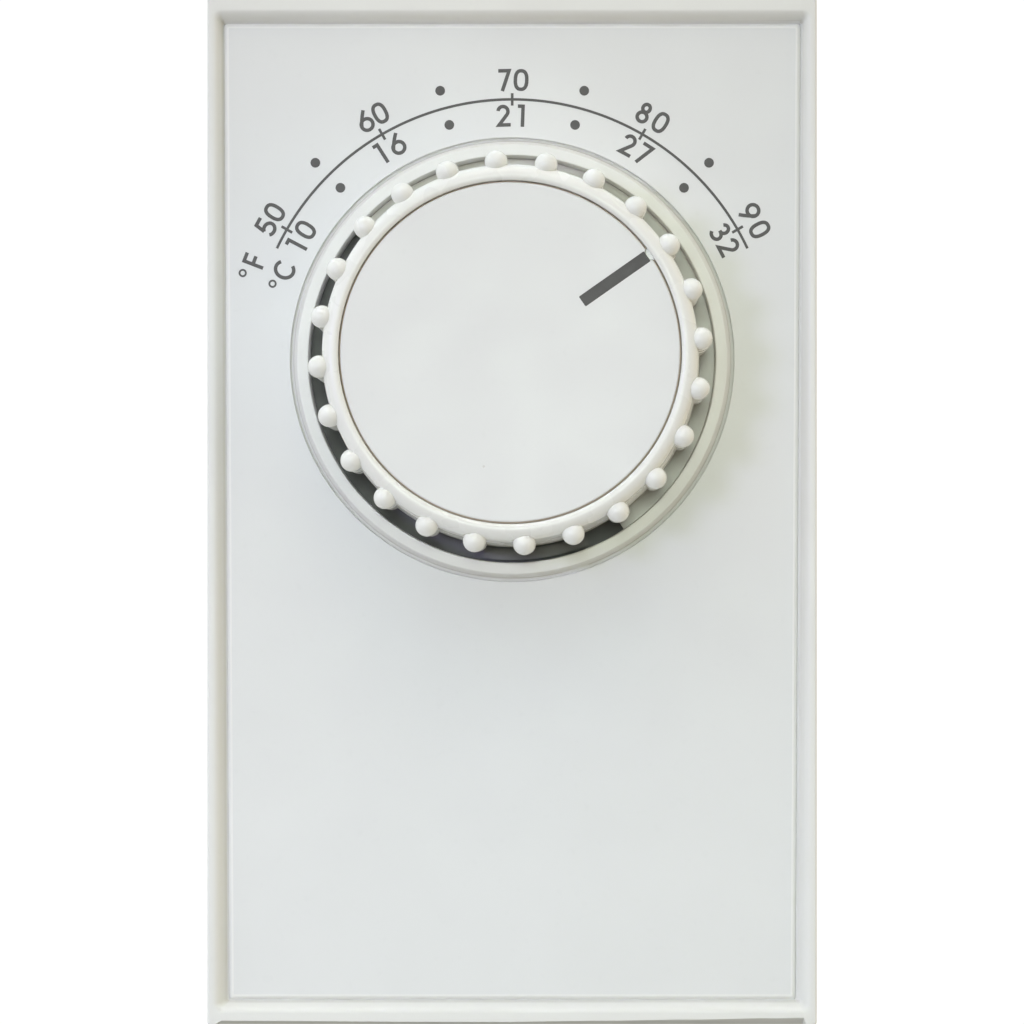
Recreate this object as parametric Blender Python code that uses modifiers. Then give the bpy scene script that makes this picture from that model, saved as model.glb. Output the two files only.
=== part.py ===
"""Wall thermostat: a dial-set bimetal snap switch on a wall plate, under a moulded cover.

Everything is drawn in the plan frame of the wall: x to the right, y up the wall, z out of the wall.
The empty wall_frame stands that drawing upright, so that the wall is the world's XZ plane and the
dial faces -Y. Depths out of the wall are called low and high below.
"""

import math

import bmesh
import bpy
from mathutils import Matrix, Vector

MM = 0.001
GAP = 0.3 * MM  # clearance between neighbouring pieces
MERGE = 0.01 * MM

# Cover, face plate and base plate
COVER_WIDTH = 68.7 * MM
COVER_HEIGHT = 116.0 * MM
COVER_BACK = 0.4 * MM
COVER_FRONT = 32.5 * MM
COVER_WALL = 2.0 * MM
PLATE_WIDTH = 64.3 * MM
PLATE_HEIGHT = 110.1 * MM
PLATE_THICKNESS = 1.0 * MM
RECESS_DEPTH = 2.4 * MM
BASE_THICKNESS = 2.0 * MM
BOX_SCREW_SPACING = 83.3 * MM
VENT_PITCH = 3.6 * MM
VENT_WIDTH = 2.2 * MM
TOP_VENT = (6.0 * MM, 26.0 * MM)  # lowest and highest height of a slot
BOTTOM_VENT = (17.0 * MM, 26.0 * MM)
BOTTOM_SLOPE_DEPTH = 0.62 * MM
BOTTOM_SLOPE_LENGTH = 2.0 * MM
COVER_SCREW_HEIGHT = 11.0 * MM
SCREW_SEAT_RADIUS = 3.4 * MM
SCREW_SEAT_DEPTH = 1.2 * MM
SCREW_HOLE_RADIUS = 1.8 * MM
HOOK_X = 18.0 * MM

# Dial
DIAL_Y = 17.15 * MM
COLLAR_OUTER = 24.65 * MM
COLLAR_TOP_OUTER = 24.1 * MM
WELL_RADIUS = 22.95 * MM
KNOB_RADIUS = 20.5 * MM
KNOB_FOOT_RADIUS = 21.2 * MM
KNOB_BOTTOM = 29.7 * MM
KNOB_TOP = 44.7 * MM
DISC_RADIUS = 18.55 * MM
DISC_LOW = 43.2 * MM
DISC_HIGH = 44.4 * MM
KNOB_WEB = (41.4 * MM, 42.9 * MM)
SHAFT_TOP = 40.2 * MM
RIB_COUNT = 24
RIB_RADIUS = 1.25 * MM
RIB_CIRCLE = 20.95 * MM
RIB_PHASE = math.radians(-4.2)
POINTER_ANGLE = math.radians(55.0)
POINTER_START = 9.7 * MM
WELL_LOW = 25.9 * MM
WELL_HIGH = 27.4 * MM
WELL_FLOOR_RADIUS = 26.0 * MM
STOP_SECTOR = (math.radians(-50.8), math.radians(146.5))
STOP_POST = (math.radians(157.5), math.radians(188.5))

# Mechanism
BLOCK_TOP = 7.7 * MM
BRIDGE_LOW = 18.0 * MM
SHEET = 1.2 * MM
SHAFT_RADIUS = 3.0 * MM
CAM_LOW = 13.0 * MM
CAM_THICKNESS = 2.0 * MM
CAM_RADIUS = 7.6 * MM
CAM_LIFT_PER_RADIAN = 0.358 * MM
LEVER_PIVOT = (-19.0 * MM, 6.0 * MM)
LEVER_LOW = 13.4 * MM
STRIP_LOW = 8.4 * MM
STRIP_HIGH = 14.4 * MM
BIMETAL_PIVOT = (11.0 * MM, 2.6 * MM)
BLADE_PIVOT = (-20.0 * MM, -13.25 * MM)
BLADE_Y = (-13.5 * MM, -13.0 * MM)
BLADE_RIVET_X = -22.8 * MM
BIMETAL_RIVET_X = (8.0 * MM, 13.5 * MM)
ADJUSTER_X = 18.0 * MM
FOOT_SCREW_HEIGHT = 10.8 * MM
BLOCK_SCREW = (25.0 * MM, 32.0 * MM)
FRAME_SCREW_X = 26.2 * MM
TERMINAL_X = 20.0 * MM
TERMINAL_Y = -27.0 * MM

BIG_STEPS = 72
SMALL_STEPS = 20

DIAL_CENTRE = (0.0, DIAL_Y)
DIAL_ORIGIN = (0.0, DIAL_Y, 0.0)


# ---------------------------------------------------------------- scene and materials


def clear_objects():
    for old in list(bpy.data.objects):
        bpy.data.objects.remove(old, do_unlink=True)


def new_collection(name):
    collection = bpy.data.collections.new(name)
    bpy.context.scene.collection.children.link(collection)
    return collection


def material(name, colour, roughness, metallic=0.0):
    made = bpy.data.materials.new(name)
    made.use_nodes = True
    shader = made.node_tree.nodes["Principled BSDF"]
    shader.inputs["Base Color"].default_value = (*colour, 1.0)
    shader.inputs["Roughness"].default_value = roughness
    shader.inputs["Metallic"].default_value = metallic
    return made


clear_objects()
PARTS = new_collection("wall_thermostat")
CUTTERS = new_collection("cutters")

WALL_FRAME = bpy.data.objects.new("wall_frame", None)
WALL_FRAME.rotation_euler = (math.radians(90.0), 0.0, 0.0)
PARTS.objects.link(WALL_FRAME)

IVORY = material("ivory_plastic", (0.80, 0.80, 0.76), 0.38)
PLATE = material("face_plate_plastic", (0.74, 0.75, 0.73), 0.45)
BLACK = material("black_phenolic", (0.02, 0.02, 0.02), 0.5)
STEEL = material("zinc_steel", (0.62, 0.63, 0.64), 0.35, 1.0)
SPRING_STEEL = material("spring_steel", (0.45, 0.46, 0.48), 0.3, 1.0)
BRASS = material("brass", (0.78, 0.60, 0.30), 0.3, 1.0)
COPPER = material("beryllium_copper", (0.75, 0.45, 0.30), 0.3, 1.0)
SILVER = material("silver", (0.85, 0.84, 0.80), 0.25, 1.0)
CERAMIC = material("ceramic", (0.85, 0.83, 0.76), 0.4)
FERRITE = material("ferrite", (0.10, 0.10, 0.11), 0.6)


# ---------------------------------------------------------------- building blocks


def place(name, mesh, collection, made_of=None, origin=(0.0, 0.0, 0.0)):
    """An object in the plan frame whose mesh is already given about its own origin."""
    made = bpy.data.objects.new(name, mesh)
    collection.objects.link(made)
    made.parent = WALL_FRAME
    made.location = origin
    if made_of is not None:
        made.data.materials.append(made_of)
    return made


def mesh_from(bm, name, origin=(0.0, 0.0, 0.0)):
    """Closes a bmesh drawn in the plan frame into a mesh about origin."""
    bmesh.ops.translate(bm, vec=-Vector(origin), verts=bm.verts)
    bmesh.ops.recalc_face_normals(bm, faces=bm.faces)
    mesh = bpy.data.meshes.new(name)
    bm.to_mesh(mesh)
    bm.free()
    return mesh


def part(name, bm, made_of, origin=(0.0, 0.0, 0.0)):
    mesh = mesh_from(bm, name, origin)
    mesh.shade_smooth()
    mesh.set_sharp_from_angle(angle=math.radians(35.0))
    return place(name, mesh, PARTS, made_of, origin)


def cutter(name, bm):
    made = place(name, mesh_from(bm, name), CUTTERS)
    made.hide_render = True
    made.display_type = "WIRE"
    return made


def boolean(target, tool, operation):
    modifier = target.modifiers.new(tool.name, "BOOLEAN")
    modifier.operation = operation
    modifier.solver = "EXACT"
    modifier.object = tool


def cut(target, name, bm):
    boolean(target, cutter(name, bm), "DIFFERENCE")


def join(target, name, bm):
    boolean(target, cutter(name, bm), "UNION")


def blocks(*corners):
    """One bmesh with a block between each pair of opposite corners."""
    bm = bmesh.new()
    for low, high in corners:
        size = Vector(high) - Vector(low)
        centre = (Vector(high) + Vector(low)) / 2
        matrix = Matrix.Translation(centre) @ Matrix.Diagonal((*size, 1.0))
        bmesh.ops.create_cube(bm, size=1.0, matrix=matrix)
    return bm


def tapered_block(half_low, half_high, low, high):
    """A block about the cover's centre whose far face has another size."""
    bm = blocks(((-half_low[0], -half_low[1], low), (half_low[0], half_low[1], high)))
    for vert in bm.verts:
        if vert.co.z > (low + high) / 2:
            vert.co.x *= half_high[0] / half_low[0]
            vert.co.y *= half_high[1] / half_low[1]
    return bm


def rods(radius, places, axis="Z", steps=SMALL_STEPS):
    """Rods along one axis: each place is the centre of the low end and the length."""
    turn = {"Z": Matrix(), "Y": Matrix.Rotation(math.radians(-90.0), 4, "X")}[axis]
    bm = bmesh.new()
    for start, length in places:
        matrix = Matrix.Translation(start) @ turn @ Matrix.Translation((0.0, 0.0, length / 2))
        bmesh.ops.create_cone(
            bm, cap_ends=True, segments=steps, radius1=radius, radius2=radius, depth=length,
            matrix=matrix,
        )
    return bm


def dial_rod(radius, low, high, steps=BIG_STEPS):
    return rods(radius, [((0.0, DIAL_Y, low), high - low)], steps=steps)


def arc(centre, radius, start, end, steps):
    """Points round a centre, with angles measured from up, clockwise as the dial is read."""
    angles = [start + (end - start) * i / steps for i in range(steps + 1)]
    return [(centre[0] + radius * math.sin(a), centre[1] + radius * math.cos(a)) for a in angles]


def circle(centre, radius, steps):
    return arc(centre, radius, 0.0, 2 * math.pi, steps)[:-1]


def rectangle(low, high):
    return [low, (high[0], low[1]), high, (low[0], high[1])]


def slab(loops, low, high):
    """A flat outline, with holes as further loops, raised from low to high."""
    curve = bpy.data.curves.new("outline", "CURVE")
    curve.dimensions = "2D"
    curve.fill_mode = "BOTH"
    curve.extrude = (high - low) / 2
    for loop in loops:
        spline = curve.splines.new("POLY")
        spline.points.add(len(loop) - 1)
        for point, (x, y) in zip(spline.points, loop):
            point.co = (x, y, 0.0, 1.0)
        spline.use_cyclic_u = True
    flat = bpy.data.objects.new("outline", curve)
    PARTS.objects.link(flat)
    bpy.context.view_layer.update()
    solid = bpy.data.meshes.new_from_object(flat.evaluated_get(bpy.context.evaluated_depsgraph_get()))
    bpy.data.objects.remove(flat, do_unlink=True)
    bpy.data.curves.remove(curve)
    bm = bmesh.new()
    bm.from_mesh(solid)
    bpy.data.meshes.remove(solid)
    bmesh.ops.remove_doubles(bm, verts=bm.verts, dist=MERGE)
    bmesh.ops.translate(bm, vec=(0.0, 0.0, (low + high) / 2), verts=bm.verts)
    return bm


def tipped(bm, along):
    """Turns a slab drawn as (x, height) so that it runs up the wall from along."""
    matrix = Matrix.Translation((0.0, along, 0.0)) @ Matrix.Rotation(math.radians(90.0), 4, "X")
    bmesh.ops.transform(bm, matrix=matrix, verts=bm.verts)
    return bm


def turned(name, profile, made_of, origin=(0.0, 0.0, 0.0), steps=SMALL_STEPS, closed=False, axis="Z"):
    """A turned piece: (radius, height) points that run down its outer side, spun about its axis."""
    mesh = bpy.data.meshes.new(name)
    count = len(profile)
    edges = [(i, i + 1) for i in range(count - 1)]
    if closed:
        edges.append((count - 1, 0))
    mesh.from_pydata([(r, 0.0, h) for r, h in profile], edges, [])
    made = place(name, mesh, PARTS, made_of, origin)
    if axis == "Y":
        made.rotation_euler = (math.radians(-90.0), 0.0, 0.0)
    screw = made.modifiers.new("turn", "SCREW")
    screw.axis = "Z"
    screw.angle = 2 * math.pi
    screw.steps = steps
    screw.render_steps = steps
    screw.use_merge_vertices = True
    screw.merge_threshold = MERGE
    screw.use_smooth_shade = True
    return made


def bevel_edges(target, width, segments, weight_of):
    """Bevels the edges for which weight_of(middle, direction) gives a share of width."""
    bm = bmesh.new()
    bm.from_mesh(target.data)
    layer = bm.edges.layers.float.new("bevel_weight_edge")
    for edge in bm.edges:
        ends = [vert.co for vert in edge.verts]
        edge[layer] = weight_of((ends[0] + ends[1]) / 2, (ends[1] - ends[0]).normalized())
    bm.to_mesh(target.data)
    bm.free()
    modifier = target.modifiers.new("bevel", "BEVEL")
    modifier.limit_method = "WEIGHT"
    modifier.width = width
    modifier.segments = segments


# ---------------------------------------------------------------- cover and plates


def vent_slots(side, heights, y_from, y_to):
    """Slots through the top (side 1) or bottom (side -1); the bottom has none round its screw."""
    low, high = heights
    corners = []
    for index in range(-8, 9):
        if abs(index) < 2 and side < 0:
            continue
        x = index * VENT_PITCH
        ys = sorted((side * y_from, side * y_to))
        corners.append(((x - VENT_WIDTH / 2, ys[0], low), (x + VENT_WIDTH / 2, ys[1], high)))
    return blocks(*corners)


def front_cover():
    half = (COVER_WIDTH / 2, COVER_HEIGHT / 2)
    inside = (half[0] - COVER_WALL, half[1] - COVER_WALL)
    plate_half = (PLATE_WIDTH / 2, PLATE_HEIGHT / 2)
    recess_floor = COVER_FRONT - RECESS_DEPTH
    ceiling = recess_floor - COVER_WALL
    shell = blocks(((-half[0], -half[1], COVER_BACK), (half[0], half[1], COVER_FRONT)))
    cover = part("front_cover", shell, IVORY)

    def rounding(middle, direction):
        if abs(direction.z) > 0.5:
            return 1.0
        return 0.5 if middle.z > COVER_FRONT - MM else 0.0

    bevel_edges(cover, 1.2 * MM, 3, rounding)
    cavity = ((-inside[0], -inside[1], -MM), (inside[0], inside[1], ceiling))
    cut(cover, "cover_cavity", blocks(cavity))
    floor_half = (plate_half[0] + 0.45 * MM, plate_half[1] + 0.45 * MM)
    mouth_half = (plate_half[0] + 0.9 * MM, plate_half[1] + 0.9 * MM)
    cut(cover, "plate_recess", tapered_block(floor_half, mouth_half, recess_floor, COVER_FRONT + 0.2 * MM))
    collar = bmesh.new()
    crown = 0.35 * MM
    rim_low = recess_floor - 0.5 * MM
    stack = [
        (COLLAR_OUTER, rim_low, COVER_FRONT - 1.1 * MM, COLLAR_OUTER),
        (COLLAR_OUTER, COVER_FRONT - 1.1 * MM, COVER_FRONT - crown, COLLAR_TOP_OUTER + crown),
        (COLLAR_TOP_OUTER + crown, COVER_FRONT - crown, COVER_FRONT, COLLAR_TOP_OUTER),
    ]
    for radius_low, low, high, radius_high in stack:
        bmesh.ops.create_cone(
            collar, cap_ends=True, segments=BIG_STEPS, radius1=radius_low, radius2=radius_high,
            depth=high - low, matrix=Matrix.Translation((0.0, DIAL_Y, (low + high) / 2)),
        )
    bmesh.ops.remove_doubles(collar, verts=collar.verts, dist=MERGE)
    inner_caps = [
        face for face in collar.faces
        if len(face.verts) > 4 and rim_low + MERGE < face.calc_center_median().z < COVER_FRONT - MERGE
    ]
    bmesh.ops.delete(collar, geom=inner_caps, context="FACES_ONLY")
    join(cover, "collar", collar)
    cut(cover, "dial_well_hole", dial_rod(WELL_RADIUS, ceiling - MM, COVER_FRONT + MM))
    outer_y = half[1] + MM
    cut(cover, "top_vents", vent_slots(1, TOP_VENT, inside[1] - MM, outer_y))
    cut(cover, "bottom_vents", vent_slots(-1, BOTTOM_VENT, inside[1] - MM, outer_y))
    slope_x = plate_half[0] + 0.4 * MM
    slope_low = COVER_FRONT - BOTTOM_SLOPE_LENGTH
    slope = blocks(((-slope_x, -outer_y, slope_low), (slope_x, -half[1], COVER_FRONT + MM)))
    for vert in slope.verts:
        if vert.co.y > -half[1] - MERGE:
            vert.co.y += BOTTOM_SLOPE_DEPTH * (vert.co.z - slope_low) / BOTTOM_SLOPE_LENGTH
    cut(cover, "bottom_slope", slope)
    screw_start = (0.0, -outer_y, COVER_SCREW_HEIGHT)
    cut(cover, "cover_screw_hole", rods(SCREW_HOLE_RADIUS, [(screw_start, 4 * MM)], axis="Y"))
    seat = [(screw_start, MM + SCREW_SEAT_DEPTH)]
    cut(cover, "cover_screw_seat", rods(SCREW_SEAT_RADIUS, seat, axis="Y"))
    lugs = [
        ((x - 3 * MM, inside[1] - 1.6 * MM, 3.4 * MM), (x + 3 * MM, inside[1] + 0.5 * MM, 5.0 * MM))
        for x in (-HOOK_X, HOOK_X)
    ]
    join(cover, "hook_lugs", blocks(*lugs))
    return cover


def face_plate():
    half = (PLATE_WIDTH / 2, PLATE_HEIGHT / 2)
    low = COVER_FRONT - RECESS_DEPTH + GAP
    high = low + PLATE_THICKNESS
    outline = rectangle((-half[0], -half[1]), half)
    window = circle((0.0, DIAL_Y), COLLAR_OUTER + GAP, BIG_STEPS)
    plate = part("face_plate", slab([outline, window], low, high), PLATE)

    def chamfered(middle, direction):
        on_rim = abs(abs(middle.x) - half[0]) < MERGE or abs(abs(middle.y) - half[1]) < MERGE
        return 1.0 if on_rim and middle.z > high - MERGE and abs(direction.z) < 0.5 else 0.0

    bevel_edges(plate, 0.45 * MM, 1, chamfered)


def base_plate():
    half = (COVER_WIDTH / 2 - COVER_WALL - GAP, COVER_HEIGHT / 2 - COVER_WALL - GAP)
    base = part("base_plate", blocks(((-half[0], -half[1], 0.0), (half[0], half[1], BASE_THICKNESS))), IVORY)
    bevel_edges(base, MM, 2, lambda middle, direction: 1.0 if abs(direction.z) > 0.5 else 0.0)
    below = -MM
    above = BASE_THICKNESS + MM
    slots = bmesh.new()
    for y in (-BOX_SCREW_SPACING / 2, BOX_SCREW_SPACING / 2):
        ends = arc((-2 * MM, y), 2.5 * MM, math.pi, 2 * math.pi, 8)
        ends += arc((2 * MM, y), 2.5 * MM, 0.0, math.pi, 8)
        slot = mesh_from(slab([ends], below, above), "slot")
        slots.from_mesh(slot)
        bpy.data.meshes.remove(slot)
    cut(base, "box_screw_slots", slots)
    cut(base, "wiring_opening", blocks(((-9.5 * MM, -33 * MM, below), (9.5 * MM, -22 * MM, above))))
    screw_holes = [((x, BLOCK_SCREW[1], below), above - below) for x in (-BLOCK_SCREW[0], BLOCK_SCREW[0])]
    cut(base, "block_screw_holes", rods(1.7 * MM, screw_holes, steps=12))
    boss_top = 15.5 * MM
    boss = ((-4.5 * MM, -half[1] + GAP, BASE_THICKNESS - MM), (4.5 * MM, -half[1] + 7 * MM, boss_top))
    join(base, "screw_boss", blocks(boss))
    boss_start = (0.0, -half[1] - MM, COVER_SCREW_HEIGHT)
    cut(base, "screw_boss_hole", rods(SCREW_HOLE_RADIUS, [(boss_start, 7 * MM)], axis="Y"))
    for side in (-1, 1):
        x = side * HOOK_X
        post = ((x - 2.5 * MM, 51 * MM, BASE_THICKNESS - MM), (x + 2.5 * MM, 53 * MM, 7.2 * MM))
        nose = ((x - 2.5 * MM, 52 * MM, 5.5 * MM), (x + 2.5 * MM, 55 * MM, 7.2 * MM))
        join(base, f"hook_post_{side}", blocks(post))
        join(base, f"hook_nose_{side}", blocks(nose))


def cover_screw():
    seat = -COVER_HEIGHT / 2
    profile = [
        (0.0, 7.5 * MM), (1.2 * MM, 7.3 * MM), (1.45 * MM, 6.8 * MM), (1.45 * MM, 0.9 * MM),
        (3.0 * MM, 0.9 * MM), (3.0 * MM, 0.3 * MM), (2.6 * MM, 0.0), (0.0, 0.0),
    ]
    screw = turned("cover_screw", profile, STEEL, (0.0, seat, COVER_SCREW_HEIGHT), axis="Y")
    half_slot = 0.4 * MM
    slot_low = (-4 * MM, seat - MM, COVER_SCREW_HEIGHT - half_slot)
    slot_high = (4 * MM, seat + 0.5 * MM, COVER_SCREW_HEIGHT + half_slot)
    cut(screw, "cover_screw_slot", blocks((slot_low, slot_high)))


# ---------------------------------------------------------------- dial


def knob():
    ring_inner = DISC_RADIUS + GAP
    web_bottom, web_top = KNOB_WEB
    hub = (SHAFT_RADIUS + GAP, 5.6 * MM)
    socket_end = SHAFT_TOP + GAP
    hub_bottom = 30.8 * MM
    shoulder = 1.0 * MM
    crest = [
        (KNOB_RADIUS - shoulder + shoulder * math.sin(a), KNOB_TOP - shoulder + shoulder * math.cos(a))
        for a in (math.radians(10.0 + 20.0 * i) for i in range(5))
    ]
    profile = [(0.0, web_top), (ring_inner, web_top), (ring_inner, KNOB_TOP - 0.3 * MM)]
    profile += [(ring_inner + 0.25 * MM, KNOB_TOP)] + crest
    profile += [
        (KNOB_FOOT_RADIUS, KNOB_BOTTOM), (KNOB_FOOT_RADIUS - 1.6 * MM, KNOB_BOTTOM),
        (KNOB_RADIUS - 1.8 * MM, web_bottom), (hub[1], web_bottom), (hub[1], hub_bottom),
        (hub[0], hub_bottom), (hub[0], socket_end), (0.0, socket_end),
    ]
    turned_knob = turned("knob", profile, IVORY, DIAL_ORIGIN, BIG_STEPS)
    ribs = bmesh.new()
    rib_top = KNOB_TOP - RIB_RADIUS
    rib_length = rib_top - KNOB_BOTTOM - 0.4 * MM - RIB_RADIUS
    for index in range(RIB_COUNT):
        angle = RIB_PHASE + 2 * math.pi * index / RIB_COUNT
        x, y = RIB_CIRCLE * math.sin(angle), DIAL_Y + RIB_CIRCLE * math.cos(angle)
        ball = bmesh.ops.create_uvsphere(
            ribs, u_segments=8, v_segments=4, radius=RIB_RADIUS,
            matrix=Matrix.Translation((x, y, rib_top)),
        )
        for vert in ball["verts"]:
            if vert.co.z < rib_top - MERGE:
                vert.co.z -= rib_length
    join(turned_knob, "knob_ribs", ribs)


def knob_disc():
    edge = 0.15 * MM
    profile = [(0.0, DISC_HIGH), (DISC_RADIUS - edge, DISC_HIGH), (DISC_RADIUS, DISC_HIGH - edge)]
    profile += [(DISC_RADIUS, DISC_LOW), (0.0, DISC_LOW)]
    disc = turned("knob_disc", profile, PLATE, DIAL_ORIGIN, BIG_STEPS)
    half_width = 0.65 * MM
    groove_low = (-half_width, POINTER_START, DISC_HIGH - 0.3 * MM)
    groove = blocks((groove_low, (half_width, DISC_RADIUS + MM, DISC_HIGH + MM)))
    bmesh.ops.rotate(groove, matrix=Matrix.Rotation(-POINTER_ANGLE, 3, "Z"), verts=groove.verts)
    bmesh.ops.translate(groove, vec=(0.0, DIAL_Y, 0.0), verts=groove.verts)
    cut(disc, "pointer_groove", groove)


def stop_ring():
    hub_hole = circle(DIAL_CENTRE, 13.0 * MM, 36)
    start, end = STOP_SECTOR
    flange = arc(DIAL_CENTRE, WELL_RADIUS - GAP, start, end, 44)
    ring = arc(DIAL_CENTRE, 20.6 * MM, end, start + 2 * math.pi, 36)
    part("stop_ring", slab([flange + ring, hub_hole], 28.2 * MM, KNOB_BOTTOM - GAP), IVORY, DIAL_ORIGIN)


def dial_well():
    disc = [circle(DIAL_CENTRE, WELL_FLOOR_RADIUS, BIG_STEPS), circle(DIAL_CENTRE, 7.0 * MM, 24)]
    well = part("dial_well", slab(disc, WELL_LOW, WELL_HIGH), BLACK)
    buried = WELL_LOW + 0.5 * MM
    start, end = STOP_POST
    stop = arc(DIAL_CENTRE, WELL_RADIUS - GAP, start, end, 8) + arc(DIAL_CENTRE, 21.4 * MM, end, start, 8)
    join(well, "stop_post", slab([stop], buried, KNOB_BOTTOM - 0.4 * MM))
    legs = []
    for angle in (0.0, 2 * math.pi / 3, 4 * math.pi / 3):
        foot = (10.0 * MM * math.sin(angle), DIAL_Y + 10.0 * MM * math.cos(angle), BRIDGE_LOW + SHEET + GAP)
        legs.append((foot, buried - foot[2]))
    join(well, "well_legs", rods(1.8 * MM, legs, steps=12))


def dial_shaft():
    top = SHAFT_TOP
    bottom = 10.5 * MM
    groove = (11.6 * MM, 12.6 * MM)
    chamfer = 0.4 * MM
    profile = [
        (0.0, top), (SHAFT_RADIUS - chamfer, top), (SHAFT_RADIUS, top - chamfer),
        (SHAFT_RADIUS, groove[1]), (2.4 * MM, groove[1]), (2.4 * MM, groove[0]),
        (SHAFT_RADIUS, groove[0]), (SHAFT_RADIUS, bottom + chamfer), (SHAFT_RADIUS - chamfer, bottom),
        (0.0, bottom),
    ]
    shaft = turned("dial_shaft", profile, STEEL, DIAL_ORIGIN, 24)
    flat = ((-4 * MM, DIAL_Y + 2.3 * MM, 31 * MM), (4 * MM, DIAL_Y + 4 * MM, 42 * MM))
    cut(shaft, "shaft_flat", blocks(flat))


def shaft_clip():
    """An open retaining ring in the shaft's groove."""
    mouth = math.radians(35.0)
    outer = arc(DIAL_CENTRE, 5.2 * MM, mouth, 2 * math.pi - mouth, 20)
    inner = arc(DIAL_CENTRE, 2.7 * MM, 2 * math.pi - mouth, mouth, 16)
    part("shaft_clip", slab([outer + inner], 11.8 * MM, 12.4 * MM), SPRING_STEEL, DIAL_ORIGIN)


def range_cam():
    """Spiral cam: the follower touches it straight below the shaft."""
    steps = 60
    outline = []
    for index in range(steps):
        angle = 2 * math.pi * index / steps
        past = angle - math.pi
        radius = CAM_RADIUS - CAM_LIFT_PER_RADIAN * past
        outline.append((radius * math.sin(angle), DIAL_Y + radius * math.cos(angle)))
    hole = circle(DIAL_CENTRE, SHAFT_RADIUS + GAP, 24)
    part("range_cam", slab([outline, hole], CAM_LOW, CAM_LOW + CAM_THICKNESS), BRASS, DIAL_ORIGIN)


def bushing():
    low = 16.4 * MM
    top = 24.0 * MM
    bore = SHAFT_RADIUS + GAP
    profile = [
        (bore, top), (4.4 * MM, top), (4.75 * MM, top - 0.35 * MM), (4.75 * MM, BRIDGE_LOW - GAP),
        (6.8 * MM, BRIDGE_LOW - GAP), (6.8 * MM, low), (bore, low),
    ]
    turned("bushing", profile, BRASS, DIAL_ORIGIN, 28, closed=True)


def bushing_nut():
    low = BRIDGE_LOW + SHEET + GAP
    loops = [circle(DIAL_CENTRE, 7.2 * MM, 6), circle(DIAL_CENTRE, 4.75 * MM + GAP, 28)]
    part("bushing_nut", slab(loops, low, low + 2.4 * MM), BRASS)


def friction_washer():
    low = CAM_LOW + CAM_THICKNESS + GAP
    profile = [(3.3 * MM, low + 0.7 * MM), (6.2 * MM, low + 0.7 * MM), (6.2 * MM, low), (3.3 * MM, low)]
    turned("friction_washer", profile, SPRING_STEEL, DIAL_ORIGIN, 28, closed=True)


# ---------------------------------------------------------------- mechanism


def mechanism_frame():
    """Bent steel bridge over the cam, with feet on the block and an ear for the lever's pin."""
    x_leg = 23.2 * MM
    x_foot = 29.0 * MM
    foot_low = BLOCK_TOP + GAP
    top = BRIDGE_LOW + SHEET
    section = [
        (-x_foot, foot_low), (-x_leg + SHEET, foot_low), (-x_leg + SHEET, BRIDGE_LOW),
        (x_leg - SHEET, BRIDGE_LOW), (x_leg - SHEET, foot_low), (x_foot, foot_low),
        (x_foot, foot_low + SHEET), (x_leg, foot_low + SHEET), (x_leg, top),
        (-x_leg, top), (-x_leg, foot_low + SHEET), (-x_foot, foot_low + SHEET),
    ]
    length = 19.5 * MM
    frame = part("mechanism_frame", tipped(slab([section], 0.0, length), 9.5 * MM + length), STEEL)
    ear = ((-22.6 * MM, 2.5 * MM, BRIDGE_LOW), (-15.0 * MM, 12.0 * MM, top))
    join(frame, "pin_ear", blocks(ear))
    cut(frame, "bushing_hole", dial_rod(4.75 * MM + GAP, BRIDGE_LOW - MM, top + MM, 28))
    below = foot_low - MM
    foot_holes = [((x, DIAL_Y, below), 4 * MM) for x in (-FRAME_SCREW_X, FRAME_SCREW_X)]
    cut(frame, "foot_holes", rods(1.7 * MM, foot_holes, steps=12))
    cut(frame, "pin_hole", rods(1.8 * MM, [((*LEVER_PIVOT, BRIDGE_LOW - MM), 4 * MM)], steps=16))


def switch_base():
    """Insulating block with a notch for the wires, walls beside it and a post for the spring."""
    low = BASE_THICKNESS + GAP
    notch = 10.8 * MM
    outline = [
        (-29.5 * MM, -34 * MM), (-notch, -34 * MM), (-notch, -20 * MM), (notch, -20 * MM),
        (notch, -34 * MM), (29.5 * MM, -34 * MM), (29.5 * MM, 37 * MM), (-29.5 * MM, 37 * MM),
    ]
    block = part("switch_base", slab([outline], low, BLOCK_TOP), BLACK)
    walls = [
        ((-12.2 * MM, -33.5 * MM, BLOCK_TOP - MM), (-11.1 * MM, -20.5 * MM, 14 * MM)),
        ((11.1 * MM, -33.5 * MM, BLOCK_TOP - MM), (12.2 * MM, -20.5 * MM, 14 * MM)),
    ]
    join(block, "terminal_walls", blocks(*walls))
    join(block, "spring_post", rods(1.4 * MM, [((-26.5 * MM, -9 * MM, BLOCK_TOP - MM), 9 * MM)], steps=12))
    terminal_holes = [((side * TERMINAL_X, TERMINAL_Y, 3.6 * MM), 6 * MM) for side in (-1, 1)]
    cut(block, "terminal_holes", rods(2.0 * MM, terminal_holes, steps=12))
    foot_holes = [((x, DIAL_Y, 3.6 * MM), 6 * MM) for x in (-FRAME_SCREW_X, FRAME_SCREW_X)]
    cut(block, "frame_screw_holes", rods(1.7 * MM, foot_holes, steps=12))
    block_holes = [((x, BLOCK_SCREW[1], low - MM), 8 * MM) for x in (-BLOCK_SCREW[0], BLOCK_SCREW[0])]
    cut(block, "block_through_holes", rods(1.7 * MM, block_holes, steps=12))
    cut(block, "pin_socket", rods(1.8 * MM, [((*LEVER_PIVOT, 5.0 * MM), 4 * MM)], steps=16))


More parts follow.
